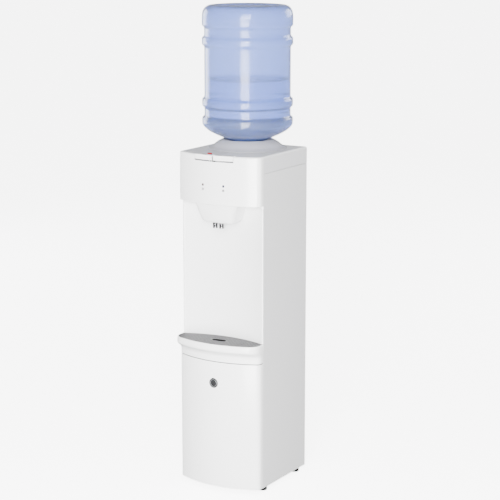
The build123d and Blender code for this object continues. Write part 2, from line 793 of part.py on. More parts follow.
# Cold tank, its lid, coil and foam
with BuildPart() as cold_tank:
    with BuildSketch(Plane.XY.offset(tank_bottom)):
        with Locations((0, bottle_y)):
            Circle(tank_radius)
    extrude(amount=tank_height)
    fillet(cold_tank.edges().group_by(Axis.Z)[0], 10)
    with BuildSketch(Plane.XY.offset(tank_bottom + tank_wall)):
        with Locations((0, bottle_y)):
            Circle(tank_radius - tank_wall)
    extrude(amount=tank_height, mode=Mode.SUBTRACT)
    spouts = [(45, bottle_y - 30), (20, hot_y + 8)]
    with BuildSketch(Plane.XY.offset(tank_bottom - foam_wall - 2)):
        with Locations(*spouts):
            Circle(tube_bore - fit)
    extrude(amount=foam_wall + 2)
finish(cold_tank, "cold_tank")

with BuildPart() as tank_lid:
    with BuildSketch(Plane.XY.offset(tank_top)):
        with Locations((0, bottle_y)):
            Circle(insulation_radius)
            Circle(throat_radius + wall + 1, mode=Mode.SUBTRACT)
    extrude(amount=3)
finish(tank_lid, "tank_lid")

coil_turns = 9
coil_pitch = 2 * coil_radius + 4
coil_start = tank_bottom + 20.0
coil_line = tank_radius + coil_radius + fit
with BuildPart() as evaporator_coil:
    with BuildLine() as coil_path:
        Helix(coil_pitch, coil_turns * coil_pitch, coil_line, center=(0, bottle_y, coil_start))
    with BuildSketch(Plane(coil_path.line @ 0, z_dir=coil_path.line % 0)):
        Circle(coil_radius)
    sweep(path=coil_path.line, is_frenet=True)
finish(evaporator_coil, "evaporator_coil")

foam_bottom = tank_bottom - foam_wall
with BuildPart() as tank_insulation:
    with BuildSketch(Plane.XY.offset(foam_bottom)):
        with Locations((0, bottle_y)):
            Circle(insulation_radius)
    extrude(amount=tank_top - foam_bottom)
    with BuildSketch(Plane.XY.offset(tank_bottom)):
        with Locations((0, bottle_y)):
            Circle(coil_line + coil_radius + fit)
    extrude(amount=tank_height + 1, mode=Mode.SUBTRACT)
    with BuildSketch(Plane.XY.offset(foam_bottom)):
        with Locations(*spouts):
            Circle(tube_bore)
        with Locations((coil_line, bottle_y)):
            Circle(coil_radius)
    extrude(amount=foam_wall, mode=Mode.SUBTRACT)
finish(tank_insulation, "tank_insulation")

# Shelf across the side panels, carrying both tanks
post_radius = 6.0
posts = [(x, bottle_y + y) for x in (-75, 75) for y in (-45, 45)]
with BuildPart() as tank_shelf:
    with BuildSketch(Plane.XY.offset(shelf_z)):
        with Locations((0, bottle_y)):
            Rectangle(2 * pan_half, 2 * insulation_radius - 30)
        with Locations((-30, hot_y + 20)):
            Circle(tube_radius + 2, mode=Mode.SUBTRACT)
        with Locations((pipe_x, back_inner - 30)):
            Circle(pipe_radius + 2, mode=Mode.SUBTRACT)
    extrude(amount=sheet)
    with BuildSketch(Plane.XY.offset(shelf_z)):
        for side in (-1, 1):
            with Locations((side * (pan_half - sheet / 2), bottle_y)):
                Rectangle(sheet, 2 * insulation_radius - 30)
    extrude(amount=20)
    with BuildSketch(Plane.XY.offset(shelf_z)):
        with Locations(*posts):
            Circle(post_radius)
    extrude(amount=foam_bottom - shelf_z)
finish(tank_shelf, "tank_shelf")

# Hot tank with its jacket and band heater
hot_low = shelf_z + sheet + 12.0
hot_tap = (-30, hot_y - 20)
hot_drain = (-30, hot_y + 20)
hot_round = 8.0
jacket_wall = 12.0
band_thickness = 4.0
with BuildPart() as hot_tank:
    with BuildSketch(Plane.XY.offset(hot_low)):
        with Locations((0, hot_y)):
            Circle(hot_radius)
    extrude(amount=hot_height)
    fillet(hot_tank.edges(), hot_round)
    with BuildSketch(Plane.XY.offset(hot_low + hot_height - tank_wall)):
        with Locations(hot_tap, spouts[1]):
            Circle(tube_bore - fit)
    extrude(amount=tank_wall + spout_length)
    with BuildSketch(Plane.XY.offset(hot_low - spout_length)):
        with Locations(hot_drain):
            Circle(tube_bore - fit)
    extrude(amount=tank_wall + spout_length)
    with BuildSketch(Plane.XY.offset(hot_low + tank_wall)):
        with Locations((0, hot_y)):
            Circle(hot_radius - hot_round)
    extrude(amount=hot_height - 2 * tank_wall, mode=Mode.SUBTRACT)
    with BuildSketch(Plane.XY.offset(hot_low + hot_round)):
        with Locations((0, hot_y)):
            Circle(hot_radius - tank_wall)
    extrude(amount=hot_height - 2 * hot_round, mode=Mode.SUBTRACT)
    with BuildSketch(Plane.XY.offset(hot_low + hot_height / 2)):
        with Locations(hot_tap, spouts[1]):
            Circle(spout_bore)
    extrude(amount=hot_height, mode=Mode.SUBTRACT)
    with BuildSketch(Plane.XY.offset(hot_low - spout_length)):
        with Locations(hot_drain):
            Circle(spout_bore)
    extrude(amount=hot_height / 2, mode=Mode.SUBTRACT)
finish(hot_tank, "hot_tank")

band_height = 40.0
band_z = hot_low + 20.0
with BuildPart() as heater_band:
    with BuildSketch(Plane.XY.offset(band_z)):
        with Locations((0, hot_y)):
            Circle(hot_radius + band_thickness)
            Circle(hot_radius + fit, mode=Mode.SUBTRACT)
    extrude(amount=band_height)
finish(heater_band, "heater_band")

with BuildPart() as hot_tank_jacket:
    with BuildSketch(Plane.XY.offset(shelf_z + sheet)):
        with Locations((0, hot_y)):
            Circle(hot_radius + band_thickness + jacket_wall)
    extrude(amount=hot_low + hot_height - shelf_z - sheet)
    with BuildSketch(Plane.XY.offset(hot_low)):
        with Locations((0, hot_y)):
            Circle(hot_radius + band_thickness + fit)
    extrude(amount=hot_height, mode=Mode.SUBTRACT)
    with BuildSketch(Plane.XY.offset(shelf_z)):
        with Locations(hot_drain):
            Circle(tube_radius + 1)
    extrude(amount=hot_low - shelf_z, mode=Mode.SUBTRACT)
finish(hot_tank_jacket, "hot_tank_jacket")

with BuildPart() as hot_thermostats:
    for turn in (0, 1):
        with BuildSketch(Plane.XY.offset(hot_low + hot_height + fit)):
            with Locations((10 - 22 * turn, hot_y + 16 - 10 * turn)):
                Circle(8)
        extrude(amount=4)
finish(hot_thermostats, "hot_thermostats")


def hose(points, bends):
    """A hose of even bore along straight runs joined by arcs."""
    with BuildPart(mode=Mode.PRIVATE) as tube:
        with BuildLine() as path:
            FilletPolyline(*points, radius=bends)
        with BuildSketch(Plane(path.line @ 0, z_dir=path.line % 0)):
            Circle(tube_radius)
            Circle(tube_bore, mode=Mode.SUBTRACT)
        sweep(path=path.line)
    return tube


hose_y = niche_y + wall + tube_radius + 2.0
valve_port_y = valve_y + valve_depth / 2
hose_x = 52.0
cold_outlet_tube = hose(
    [
        (spouts[0][0], spouts[0][1], foam_bottom - fit),
        (spouts[0][0], spouts[0][1], foam_bottom - 26),
        (hose_x, hose_y, foam_bottom - 26),
        (hose_x, hose_y, valve_port_z),
        (valve_x, hose_y - 14, valve_port_z),
        (valve_x, valve_port_y + fit, valve_port_z),
    ],
    7.5,
)
finish(cold_outlet_tube, "cold_outlet_tube")
hot_outlet_tube = hose(
    [
        (hot_tap[0], hot_tap[1], hot_low + hot_height + fit),
        (hot_tap[0], hot_tap[1], hot_low + hot_height + 24),
        (-hose_x, hose_y, hot_low + hot_height + 24),
        (-hose_x, hose_y, valve_port_z),
        (-valve_x, hose_y - 14, valve_port_z),
        (-valve_x, valve_port_y + fit, valve_port_z),
    ],
    7.5,
)
finish(hot_outlet_tube, "hot_outlet_tube")

with BuildPart() as hot_feed_tube:
    with BuildSketch(Plane.XY.offset(hot_low + hot_height + fit)):
        with Locations(spouts[1]):
            Circle(tube_radius)
            Circle(tube_bore, mode=Mode.SUBTRACT)
    extrude(amount=foam_bottom - hot_low - hot_height - 2 * fit)
finish(hot_feed_tube, "hot_feed_tube")

# Drain: stub through the back panel, a hose from the hot tank and a cap
drain_inside = 16.0
drain_outside = 14.0
drain_bore = drain_radius - 3.0
with BuildPart() as drain_outlet:
    with BuildSketch(Plane.XZ.offset(-back_inner + drain_inside)):
        with Locations((drain_x, drain_z)):
            Circle(drain_radius)
            Circle(drain_bore, mode=Mode.SUBTRACT)
    extrude(amount=-drain_inside - sheet - drain_outside)
    with BuildSketch(Plane.XZ.offset(-back_inner + 3)):
        with Locations((drain_x, drain_z)):
            Circle(drain_radius + 4)
            Circle(drain_bore, mode=Mode.SUBTRACT)
    extrude(amount=-3)
finish(drain_outlet, "drain_outlet")

with BuildPart() as drain_cap:
    with BuildSketch(Plane.XZ.offset(-back_outer - 1)):
        with Locations((drain_x, drain_z)):
            Circle(drain_radius + 3)
    extrude(amount=-16)
    with BuildSketch(Plane.XZ.offset(-back_outer - 1)):
        with Locations((drain_x, drain_z)):
            Circle(drain_radius + fit + 0.1)
    extrude(amount=-13.5, mode=Mode.SUBTRACT)
    chamfer(drain_cap.edges().group_by(Axis.Y)[-1], 1)
finish(drain_cap, "drain_cap")

drain_hose_y = hot_y + 20
drain_tube = hose(
    [
        (-30, drain_hose_y, hot_low - 14),
        (-30, drain_hose_y, shelf_z - 40),
        (drain_x, drain_hose_y + 10, shelf_z - 60),
        (drain_x, drain_hose_y + 10, drain_z + 20),
        (drain_x, back_inner - 30, drain_z),
        (drain_x, back_inner - drain_inside - fit, drain_z),
    ],
    6,
)
finish(drain_tube, "drain_tube")

# Compressor on four rubber grommets
plate_z = z_base + sheet + grommet_height
plate_thickness = 3.0
dome_round = 30.0
# The can is bored out until what is left weighs as much as its shell and motor do
shell_wall = 14.0
port_length = 8.0
ports = [(compressor_y, plate_z + 90), (compressor_y + 20, plate_z + 40)]
with BuildPart() as compressor:
    with BuildSketch(Plane.XY.offset(plate_z)):
        with Locations((0, compressor_y)):
            RectangleRounded(140, 116, 12)
        with Locations(*grommets):
            Circle(4.5, mode=Mode.SUBTRACT)
    extrude(amount=plate_thickness)
    with BuildSketch(Plane.XY.offset(plate_z + plate_thickness)):
        with Locations((0, compressor_y)):
            Circle(compressor_radius)
    extrude(amount=compressor_height)
    fillet(compressor.edges().group_by(Axis.Z)[-1], dome_round)
    with BuildSketch(Plane.XY.offset(plate_z + shell_wall)):
        with Locations((0, compressor_y)):
            Circle(compressor_radius - shell_wall)
    extrude(amount=compressor_height - 2 * shell_wall, mode=Mode.SUBTRACT)
    with BuildSketch(Plane.XZ.offset(-compressor_y + compressor_radius - 4)):
        with Locations((0, plate_z + 70)):
            RectangleRounded(46, 54, 4)
    extrude(amount=18)
    with BuildSketch(Plane.YZ.offset(compressor_radius - 3)):
        with Locations(*ports):
            Circle(pipe_radius + 1.5)
    extrude(amount=port_length + 3)
    with BuildSketch(Plane.YZ.offset(compressor_radius - 2 * shell_wall)):
        with Locations(*ports):
            Circle(spout_bore)
    extrude(amount=2 * shell_wall + port_length, mode=Mode.SUBTRACT)
finish(compressor, "compressor")

with BuildPart() as compressor_grommets:
    with BuildSketch(Plane.XY.offset(z_base + sheet)):
        with Locations(*grommets):
            Circle(9)
    extrude(amount=grommet_height)
    with BuildSketch(Plane.XY.offset(z_base + sheet)):
        with Locations(*grommets):
            Circle(4)
    extrude(amount=grommet_height + 8)
finish(compressor_grommets, "compressor_grommets")

# Condenser: a pipe folded up and down the back, with wires and stand-off tabs
runs = []
for row in range(condenser_runs):
    level = condenser_high - row * condenser_pitch
    ends = (condenser_half, -condenser_half) if row % 2 == 0 else (-condenser_half, condenser_half)
    runs += [(ends[0], condenser_y, level), (ends[1], condenser_y, level)]
with BuildPart() as condenser:
    with BuildLine() as folded:
        FilletPolyline(*runs, radius=condenser_pitch / 2 - 1)
    with BuildSketch(Plane(folded.line @ 0, z_dir=folded.line % 0)):
        Circle(pipe_radius)
    sweep(path=folded.line)
    wire_length = condenser_high - condenser_low + 20
    with BuildSketch(Plane.XY.offset(condenser_low - 10)):
        for side in (-1, 1):
            with Locations((0, condenser_y + side * (pipe_radius + wire_radius - 0.3))):
                with GridLocations(14, 1, 14, 1):
                    Circle(wire_radius)
    extrude(amount=wire_length)
    for side in (-1, 1):
        for level in (condenser_low + condenser_pitch, condenser_high - condenser_pitch):
            with BuildSketch(Plane.XY.offset(level - 6)):
                with Locations((side * 70, (back_outer + condenser_y) / 2)):
                    Rectangle(10, condenser_y - back_outer)
            extrude(amount=12)
finish(condenser, "condenser")


def pipe(points, bends):
    """A solid copper line along straight runs joined by arcs."""
    with BuildPart(mode=Mode.PRIVATE) as line:
        with BuildLine() as path:
            FilletPolyline(*points, radius=bends)
        with BuildSketch(Plane(path.line @ 0, z_dir=path.line % 0)):
            Circle(pipe_radius)
        sweep(path=path.line)
    return line


port_x = compressor_radius + port_length + fit
discharge_line = pipe(
    [
        (port_x, *ports[0]),
        (pipe_x, *ports[0]),
        (pipe_x, back_inner - 30, plate_z + 130),
        (pipe_x, back_inner - 30, condenser_high - 30),
        (pipe_x, back_inner - 10, condenser_high),
        (pipe_x, condenser_y - pipe_radius - fit, condenser_high),
    ],
    8,
)
finish(discharge_line, "discharge_line")
suction_line = pipe(
    [
        (port_x, *ports[1]),
        (pipe_x + 12, *ports[1]),
        (pipe_x + 12, compressor_y + 10, plate_z + 120),
        (pipe_x + 12, bottle_y - 60, shelf_z - 60),
        (pipe_x + 12, bottle_y - insulation_radius + 6, shelf_z - 20),
        (pipe_x + 12, bottle_y - insulation_radius + 6, foam_bottom - 30),
        (coil_line, bottle_y, foam_bottom - 30),
        (coil_line, bottle_y, coil_start - coil_radius - 1),
    ],
    8,
)
finish(suction_line, "suction_line")

# Filter-drier clipped beside the compressor
with BuildPart() as filter_drier:
    with BuildSketch(Plane.XY.offset(z_base + sheet)):
        with Locations((pipe_x - 14, compressor_y - 62)):
            Circle(11)
    extrude(amount=110)
    fillet(filter_drier.edges(), 4)
finish(filter_drier, "filter_drier")

# Rear switches: one plate and two rockers, each tilted to its on side
with BuildPart() as switch_plate:
    with BuildSketch(Plane.XZ.offset(-back_outer)):
        with Locations((0, switch_z)):
            RectangleRounded(plate_width, plate_height, 3)
            with GridLocations(2 * switch_x, 1, 2, 1):
                Rectangle(switch_width + 2 * play, switch_height + 2, mode=Mode.SUBTRACT)
    extrude(amount=-3)
finish(switch_plate, "switch_plate")

pivot_y = back_outer + 1.5
pin_radius = 0.8
for side, word in ((-1, "hot"), (1, "cold")):
    tilt = radians(switch_tilt)
    rocker_plane = Plane(
        origin=(side * switch_x - switch_width / 2, pivot_y, switch_z),
        x_dir=(0, cos(tilt), sin(tilt)),
        z_dir=(1, 0, 0),
    )
    with BuildPart() as switch:
        with BuildSketch(rocker_plane):
            with BuildLine():
                Polyline(
                    (2.2, 0),
                    (4.2, switch_height / 2),
                    (-1.5, switch_height / 2 - 1),
                    (-5, 0),
                    (-1.5, 1 - switch_height / 2),
                    (4.2, -switch_height / 2),
                    (2.2, 0),
                )
            make_face()
            Circle(pin_radius, mode=Mode.SUBTRACT)
        extrude(amount=switch_width)
    finish(switch, f"{word}_switch")

# Cord gland in the back panel, left empty
gland_bore = gland_radius - 2.2
with BuildPart() as cord_gland:
    with BuildSketch(Plane.XZ.offset(-back_inner + 4)):
        with Locations((gland_x, gland_z)):
            Circle(gland_radius)
            Circle(gland_bore, mode=Mode.SUBTRACT)
    extrude(amount=-sheet - 8)
    with BuildSketch(Plane.XZ.offset(-back_outer)):
        with Locations((gland_x, gland_z)):
            Circle(gland_radius + 3)
            Circle(gland_bore, mode=Mode.SUBTRACT)
    extrude(amount=-2.5)
finish(cord_gland, "cord_gland")
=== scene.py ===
import bpy
import math
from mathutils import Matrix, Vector


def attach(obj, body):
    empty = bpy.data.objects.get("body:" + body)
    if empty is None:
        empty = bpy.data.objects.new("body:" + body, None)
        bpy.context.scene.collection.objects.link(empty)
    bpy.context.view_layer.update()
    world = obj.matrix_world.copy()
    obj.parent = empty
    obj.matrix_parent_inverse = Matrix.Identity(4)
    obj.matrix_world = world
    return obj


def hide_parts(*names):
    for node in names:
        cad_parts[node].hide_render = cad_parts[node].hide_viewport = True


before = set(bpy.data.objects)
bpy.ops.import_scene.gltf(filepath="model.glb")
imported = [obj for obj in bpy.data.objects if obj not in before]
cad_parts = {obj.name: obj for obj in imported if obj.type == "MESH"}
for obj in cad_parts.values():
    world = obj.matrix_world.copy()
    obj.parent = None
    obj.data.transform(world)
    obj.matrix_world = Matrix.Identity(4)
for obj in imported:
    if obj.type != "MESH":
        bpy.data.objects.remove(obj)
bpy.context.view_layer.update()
print("frame loaded:", len(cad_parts), "nodes")

mm = 0.001
sameLevel = 0.000005


def deselectAll():
    if bpy.context.mode != "OBJECT":
        bpy.ops.object.mode_set(mode="OBJECT")
    bpy.ops.object.select_all(action="DESELECT")


def openMesh(piece, mode="FACE"):
    # into edit mode on this piece alone
    deselectAll()
    piece.select_set(True)
    bpy.context.view_layer.objects.active = piece
    bpy.context.tool_settings.mesh_select_mode = (mode == "VERT", mode == "EDGE", mode == "FACE")
    bpy.ops.object.mode_set(mode="EDIT")


def openWhole(piece, mode="FACE"):
    openMesh(piece, mode)
    bpy.ops.mesh.select_all(action="SELECT")


def closeMesh():
    bpy.ops.object.mode_set(mode="OBJECT")


def pick(piece, mode, test):
    # select the vertices, edges or faces whose middle passes the test, and stay in edit mode
    openMesh(piece, mode)
    bpy.ops.mesh.select_all(action="DESELECT")
    closeMesh()
    mesh = piece.data
    if mode == "FACE":
        for face in mesh.polygons:
            face.select = test(face.center, face.normal)
    elif mode == "EDGE":
        for edge in mesh.edges:
            a, b = (mesh.vertices[i].co for i in edge.vertices)
            edge.select = test((a + b) / 2, (b - a).normalized())
    else:
        for vertex in mesh.vertices:
            vertex.select = test(vertex.co, vertex.normal)
    bpy.ops.object.mode_set(mode="EDIT")


def addModifier(piece, kind, **settings):
    modifier = piece.modifiers.new(kind.title(), kind)
    for key, value in settings.items():
        setattr(modifier, key, value)
    deselectAll()
    piece.select_set(True)
    bpy.context.view_layer.objects.active = piece
    bpy.ops.object.modifier_apply(modifier=modifier.name)


def fixNormals(piece):
    openWhole(piece)
    bpy.ops.mesh.remove_doubles(threshold=0.00001)
    bpy.ops.mesh.normals_make_consistent(inside=False)
    closeMesh()


def finishPiece(piece, name, body, finish, replaced=(), smooth=30):
    deselectAll()
    piece.select_set(True)
    bpy.context.view_layer.objects.active = piece
    bpy.ops.object.transform_apply(location=True, rotation=True, scale=True)
    bpy.ops.object.shade_smooth_by_angle(angle=math.radians(smooth))
    piece.name = name
    piece.data.name = name
    piece.data.materials.clear()
    piece.data.materials.append(finish)
    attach(piece, body)
    if replaced:
        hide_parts(*replaced)


def tube(profile, middle, sides, closeStart=True, closeEnd=True):
    # a turned shape: a circle, extruded and resized from station to station (radius, height)
    deselectAll()
    stations = [(r * mm, z * mm) for r, z in profile]
    radius, height = stations[0]
    x, y = (v * mm for v in middle)
    bpy.ops.mesh.primitive_circle_add(vertices=sides, radius=radius, location=(x, y, height))
    piece = bpy.context.object
    bpy.ops.object.transform_apply(location=True)
    openWhole(piece, "EDGE")
    if closeStart:
        bpy.ops.mesh.edge_face_add()
    for newRadius, newHeight in stations[1:]:
        bpy.ops.mesh.extrude_edges_move(TRANSFORM_OT_translate={"value": (0, 0, newHeight - height)})
        ratio = newRadius / radius
        bpy.ops.transform.resize(value=(ratio, ratio, 1), center_override=(x, y, newHeight))
        radius, height = newRadius, newHeight
    if closeEnd:
        bpy.ops.mesh.edge_face_add()
    closeMesh()
    fixNormals(piece)
    return piece


def startPoint(place):
    # an outline starts as one point, which is then run straight and spun round centres
    deselectAll()
    bpy.ops.mesh.primitive_plane_add(size=0.001, location=place)
    piece = bpy.context.object
    bpy.ops.object.transform_apply(location=True)
    openWhole(piece, "VERT")
    bpy.ops.mesh.merge(type="CENTER")
    return piece


def runPoint(move):
    bpy.ops.mesh.extrude_region_move(TRANSFORM_OT_translate={"value": move})


def turnPoint(centre, angle, steps):
    bpy.ops.mesh.spin(steps=steps, angle=-angle, center=centre, axis=(0, 0, 1))


def bowCorner(half, frontY, radius, corner):
    # the front corner's centre height in y, and the angle of the bow from its middle to that corner
    reach = math.sqrt((radius - corner) ** 2 - (half - corner) ** 2)
    return frontY + radius - reach, math.atan2(half - corner, reach)


def bowPath(half, frontY, radius, corner, backY, height, cornerSteps=8, bowSteps=40):
    # from the back left, along the left side, round the bowed front and back along the right side
    cornerY, spread = bowCorner(half, frontY, radius, corner)
    piece = startPoint((-half, backY, height))
    runPoint((0, cornerY - backY, 0))
    turnPoint((corner - half, cornerY, height), math.pi / 2 - spread, cornerSteps)
    turnPoint((0, frontY + radius, height), 2 * spread, bowSteps)
    turnPoint((half - corner, cornerY, height), math.pi / 2 - spread, cornerSteps)
    runPoint((0, backY - cornerY, 0))
    closeMesh()
    return piece


def joinPieces(parts):
    deselectAll()
    for part in parts:
        part.select_set(True)
    bpy.context.view_layer.objects.active = parts[0]
    bpy.ops.object.join()
    return bpy.context.object


def stackOutlines(outlines, heights, capTop=True):
    # outlines at rising heights, bridged one to the next and closed at the ends
    piece = joinPieces(outlines)
    for low, high in zip(heights, heights[1:]):
        pick(piece, "EDGE", lambda middle, way: abs(way.z) < 0.01
             and (abs(middle.z - low) < sameLevel or abs(middle.z - high) < sameLevel))
        bpy.ops.mesh.bridge_edge_loops()
        closeMesh()
    for height in (heights[0], heights[-1]) if capTop else heights[:1]:
        pick(piece, "VERT", lambda place, way: abs(place.z - height) < sameLevel)
        bpy.ops.mesh.edge_face_add()
        closeMesh()
    fixNormals(piece)
    return piece


def bowStack(levels, capTop=True):
    # levels are (half, frontY, radius, corner, backY, height), bottom to top
    levels = [[v * mm for v in level] for level in levels]
    return stackOutlines([bowPath(*level) for level in levels], [level[5] for level in levels], capTop)


def softBox(low, high, width, segments):
    # a small block with rounded edges between two corners
    deselectAll()
    low, high = [v * mm for v in low], [v * mm for v in high]
    middle = [(a + b) / 2 for a, b in zip(low, high)]
    bpy.ops.mesh.primitive_cube_add(size=1, location=middle, scale=[b - a for a, b in zip(low, high)])
    piece = bpy.context.object
    bpy.ops.object.transform_apply(location=True, rotation=True, scale=True)
    openWhole(piece, "EDGE")
    bpy.ops.mesh.bevel(offset=width * mm, segments=segments, affect="EDGES")
    closeMesh()
    return piece


def hollow(piece, wall):
    addModifier(piece, "SOLIDIFY", thickness=wall * mm, offset=-1, use_even_offset=True)


def cutWith(piece, cutter):
    addModifier(piece, "BOOLEAN", operation="DIFFERENCE", object=cutter, solver="EXACT")
    bpy.data.objects.remove(cutter, do_unlink=True)


def peg(radius, low, high, middle, sides, along="Z"):
    # a round cutter that runs from low to high, upward or, along Y, from front to back
    deselectAll()
    centre = (low + high) / 2
    place, turn = ((*middle, centre), 0) if along == "Z" else ((middle[0], centre, middle[1]), math.pi / 2)
    bpy.ops.mesh.primitive_cylinder_add(vertices=sides, radius=radius * mm, depth=(high - low) * mm,
                                        location=[v * mm for v in place], rotation=(turn, 0, 0))
    bpy.ops.object.transform_apply(location=True, rotation=True)
    return bpy.context.object


def spunFace(profile, middle, sides):
    # a disc facing the front: circles extruded and resized along Y
    deselectAll()
    radius, y = profile[0]
    bpy.ops.mesh.primitive_circle_add(vertices=sides, radius=radius * mm, rotation=(math.pi / 2, 0, 0),
                                      location=(middle[0] * mm, y * mm, middle[1] * mm))
    piece = bpy.context.object
    bpy.ops.object.transform_apply(location=True, rotation=True)
    openWhole(piece, "EDGE")
    bpy.ops.mesh.edge_face_add()
    for newRadius, newY in profile[1:]:
        bpy.ops.mesh.extrude_edges_move(TRANSFORM_OT_translate={"value": (0, (newY - y) * mm, 0)})
        ratio = newRadius / radius
        bpy.ops.transform.resize(value=(ratio, 1, ratio), center_override=(middle[0] * mm, newY * mm, middle[1] * mm))
        radius, y = newRadius, newY
    bpy.ops.mesh.edge_face_add()
    closeMesh()
    fixNormals(piece)
    return piece


def baseFinish(name, colour, roughness, metallic, **sockets):
    # a plain material; further sockets are named with underscores for spaces
    made = bpy.data.materials.new(name)
    made.use_nodes = True
    shader = made.node_tree.nodes["Principled BSDF"]
    shader.inputs["Base Color"].default_value = (*colour, 1)
    shader.inputs["Roughness"].default_value = roughness
    shader.inputs["Metallic"].default_value = metallic
    for socket, value in sockets.items():
        shader.inputs[socket.replace("_", " ")].default_value = value
    return made, made.node_tree.nodes, made.node_tree.links, shader


def objectPattern(nodes, links, scale=(1, 1, 1)):
    place = nodes.new("ShaderNodeTexCoord")
    mapping = nodes.new("ShaderNodeMapping")
    mapping.inputs["Scale"].default_value = scale
    links.new(place.outputs["Object"], mapping.inputs["Vector"])
    return mapping.outputs["Vector"]


def grainFinish(name, colour, roughness, grain=900, depth=0.0004, mottle=0.03, patch=9, stretch=(1, 1, 1),
                metallic=0.0, spread=0.08, **sockets):
    # a surface with slow colour drift, varied gloss and a fine raised grain
    made, nodes, links, shader = baseFinish(name, colour, roughness, metallic, **sockets)
    where = objectPattern(nodes, links, stretch)
    slow = nodes.new("ShaderNodeTexNoise")
    slow.inputs["Scale"].default_value = patch
    slow.inputs["Detail"].default_value = 3
    links.new(where, slow.inputs["Vector"])
    tint = nodes.new("ShaderNodeMix")
    tint.data_type = "RGBA"
    tint.inputs[6].default_value = (*[c * (1 - mottle) for c in colour], 1)
    tint.inputs[7].default_value = (*[min(1, c * (1 + mottle)) for c in colour], 1)
    links.new(slow.outputs["Fac"], tint.inputs["Factor"])
    links.new(tint.outputs[2], shader.inputs["Base Color"])
    gloss = nodes.new("ShaderNodeMapRange")
    gloss.inputs["To Min"].default_value = max(0.02, roughness - spread)
    gloss.inputs["To Max"].default_value = min(1, roughness + spread)
    links.new(slow.outputs["Fac"], gloss.inputs["Value"])
    links.new(gloss.outputs["Result"], shader.inputs["Roughness"])
    fine = nodes.new("ShaderNodeTexNoise")
    fine.inputs["Scale"].default_value = grain
    fine.inputs["Detail"].default_value = 2
    links.new(where, fine.inputs["Vector"])
    bump = nodes.new("ShaderNodeBump")
    bump.inputs["Strength"].default_value = 0.35
    bump.inputs["Distance"].default_value = depth
    links.new(fine.outputs["Fac"], bump.inputs["Height"])
    links.new(bump.outputs["Normal"], shader.inputs["Normal"])
    return made


def darkenBelow(made, low, high, colour):
    # the walls of deep holes hardly see any light, so below a height the surface turns dark
    nodes, links = made.node_tree.nodes, made.node_tree.links
    shader = nodes["Principled BSDF"]
    tinted = shader.inputs["Base Color"].links[0].from_socket
    split = nodes.new("ShaderNodeSeparateXYZ")
    links.new(objectPattern(nodes, links), split.inputs["Vector"])
    rise = nodes.new("ShaderNodeMapRange")
    rise.inputs["From Min"].default_value = low
    rise.inputs["From Max"].default_value = high
    links.new(split.outputs["Z"], rise.inputs["Value"])
    blend = nodes.new("ShaderNodeMix")
    blend.data_type = "RGBA"
    blend.inputs[6].default_value = (*colour, 1)
    links.new(tinted, blend.inputs[7])
    links.new(rise.outputs["Result"], blend.inputs["Factor"])
    links.new(blend.outputs[2], shader.inputs["Base Color"])


whitePlastic = grainFinish("whitePlastic", (0.86, 0.86, 0.86), 0.2, grain=700, depth=0.00004, mottle=0.012,
                           spread=0.04)
collarPlastic = grainFinish("collarPlastic", (0.36, 0.36, 0.395), 0.42, grain=900, depth=0.0001, mottle=0.015)
# the top cover is set greyer than the white plastic so its top and sides read darker: painted shade
coverShadedPlastic = grainFinish("coverShadedPlastic", (0.66, 0.66, 0.675), 0.36, grain=700, depth=0.00006, mottle=0.015)
whiteSteel = grainFinish("whiteSteel", (0.68, 0.68, 0.685), 0.4, grain=420, depth=0.00012, mottle=0.015, patch=5)
galvanised = grainFinish("galvanised", (0.55, 0.56, 0.58), 0.45, grain=60, depth=0.00005, mottle=0.10, patch=45,
                         metallic=0.75)
trayPlastic = grainFinish("trayPlastic", (0.014, 0.014, 0.015), 0.7, mottle=0.15, Specular_IOR_Level=0.2)
grillePlastic = grainFinish("grillePlastic", (0.115, 0.115, 0.118), 0.55, mottle=0.05, Specular_IOR_Level=0.3)
darkenBelow(grillePlastic, 0.4606, 0.4612, (0.004, 0.004, 0.0042))
darkPlastic = grainFinish("darkPlastic", (0.012, 0.012, 0.013), 0.45, grain=1200, mottle=0.2)
rubber = grainFinish("rubber", (0.006, 0.006, 0.006), 0.85, grain=1500, depth=0.0003, mottle=0.25,
                     Specular_IOR_Level=0.2)
paintBlack = grainFinish("paintBlack", (0.012, 0.012, 0.013), 0.3, grain=300, mottle=0.15)
lockRed = grainFinish("lockRed", (0.30, 0.008, 0.02), 0.3, mottle=0.05)
rockerGreen = grainFinish("rockerGreen", (0.01, 0.22, 0.06), 0.3, mottle=0.05)
chrome = grainFinish("chrome", (0.16, 0.16, 0.165), 0.2, grain=200, depth=0.00002, mottle=0.06, metallic=1.0,
                     spread=0.05)
stainless = grainFinish("stainless", (0.6, 0.6, 0.61), 0.3, grain=350, depth=0.00008, mottle=0.05, metallic=1.0,
                        stretch=(1, 1, 0.05))
copper = grainFinish("copper", (0.64, 0.27, 0.14), 0.32, grain=240, mottle=0.12, metallic=1.0)
foam = grainFinish("foam", (0.82, 0.82, 0.79), 0.85, grain=260, depth=0.0012, mottle=0.05)
silicone = grainFinish("silicone", (0.75, 0.75, 0.72), 0.35, mottle=0.05)
boardGreen = grainFinish("boardGreen", (0.02, 0.16, 0.06), 0.35, grain=500, mottle=0.15)
valvePlastic = grainFinish("valvePlastic", (0.74, 0.74, 0.72), 0.45, mottle=0.04)
lensRed = grainFinish("lensRed", (0.03, 0.006, 0.006), 0.5, mottle=0.05)
lensBlue = grainFinish("lensBlue", (0.006, 0.008, 0.03), 0.5, mottle=0.05)
floorPaint = grainFinish("floorPaint", (0.93, 0.93, 0.93), 0.6, grain=80, depth=0.0002, mottle=0.004,
                         Emission_Color=(1, 1, 1, 1), Emission_Strength=6)
badgeDark = grainFinish("badgeDark", (0.012, 0.0125, 0.0135), 0.55, grain=500, depth=0.00003, mottle=0.08,
                        Specular_IOR_Level=0.3)
badgeBright = grainFinish("badgeBright", (0.55, 0.56, 0.58), 0.28, grain=300, depth=0.00002, mottle=0.06, metallic=1.0)
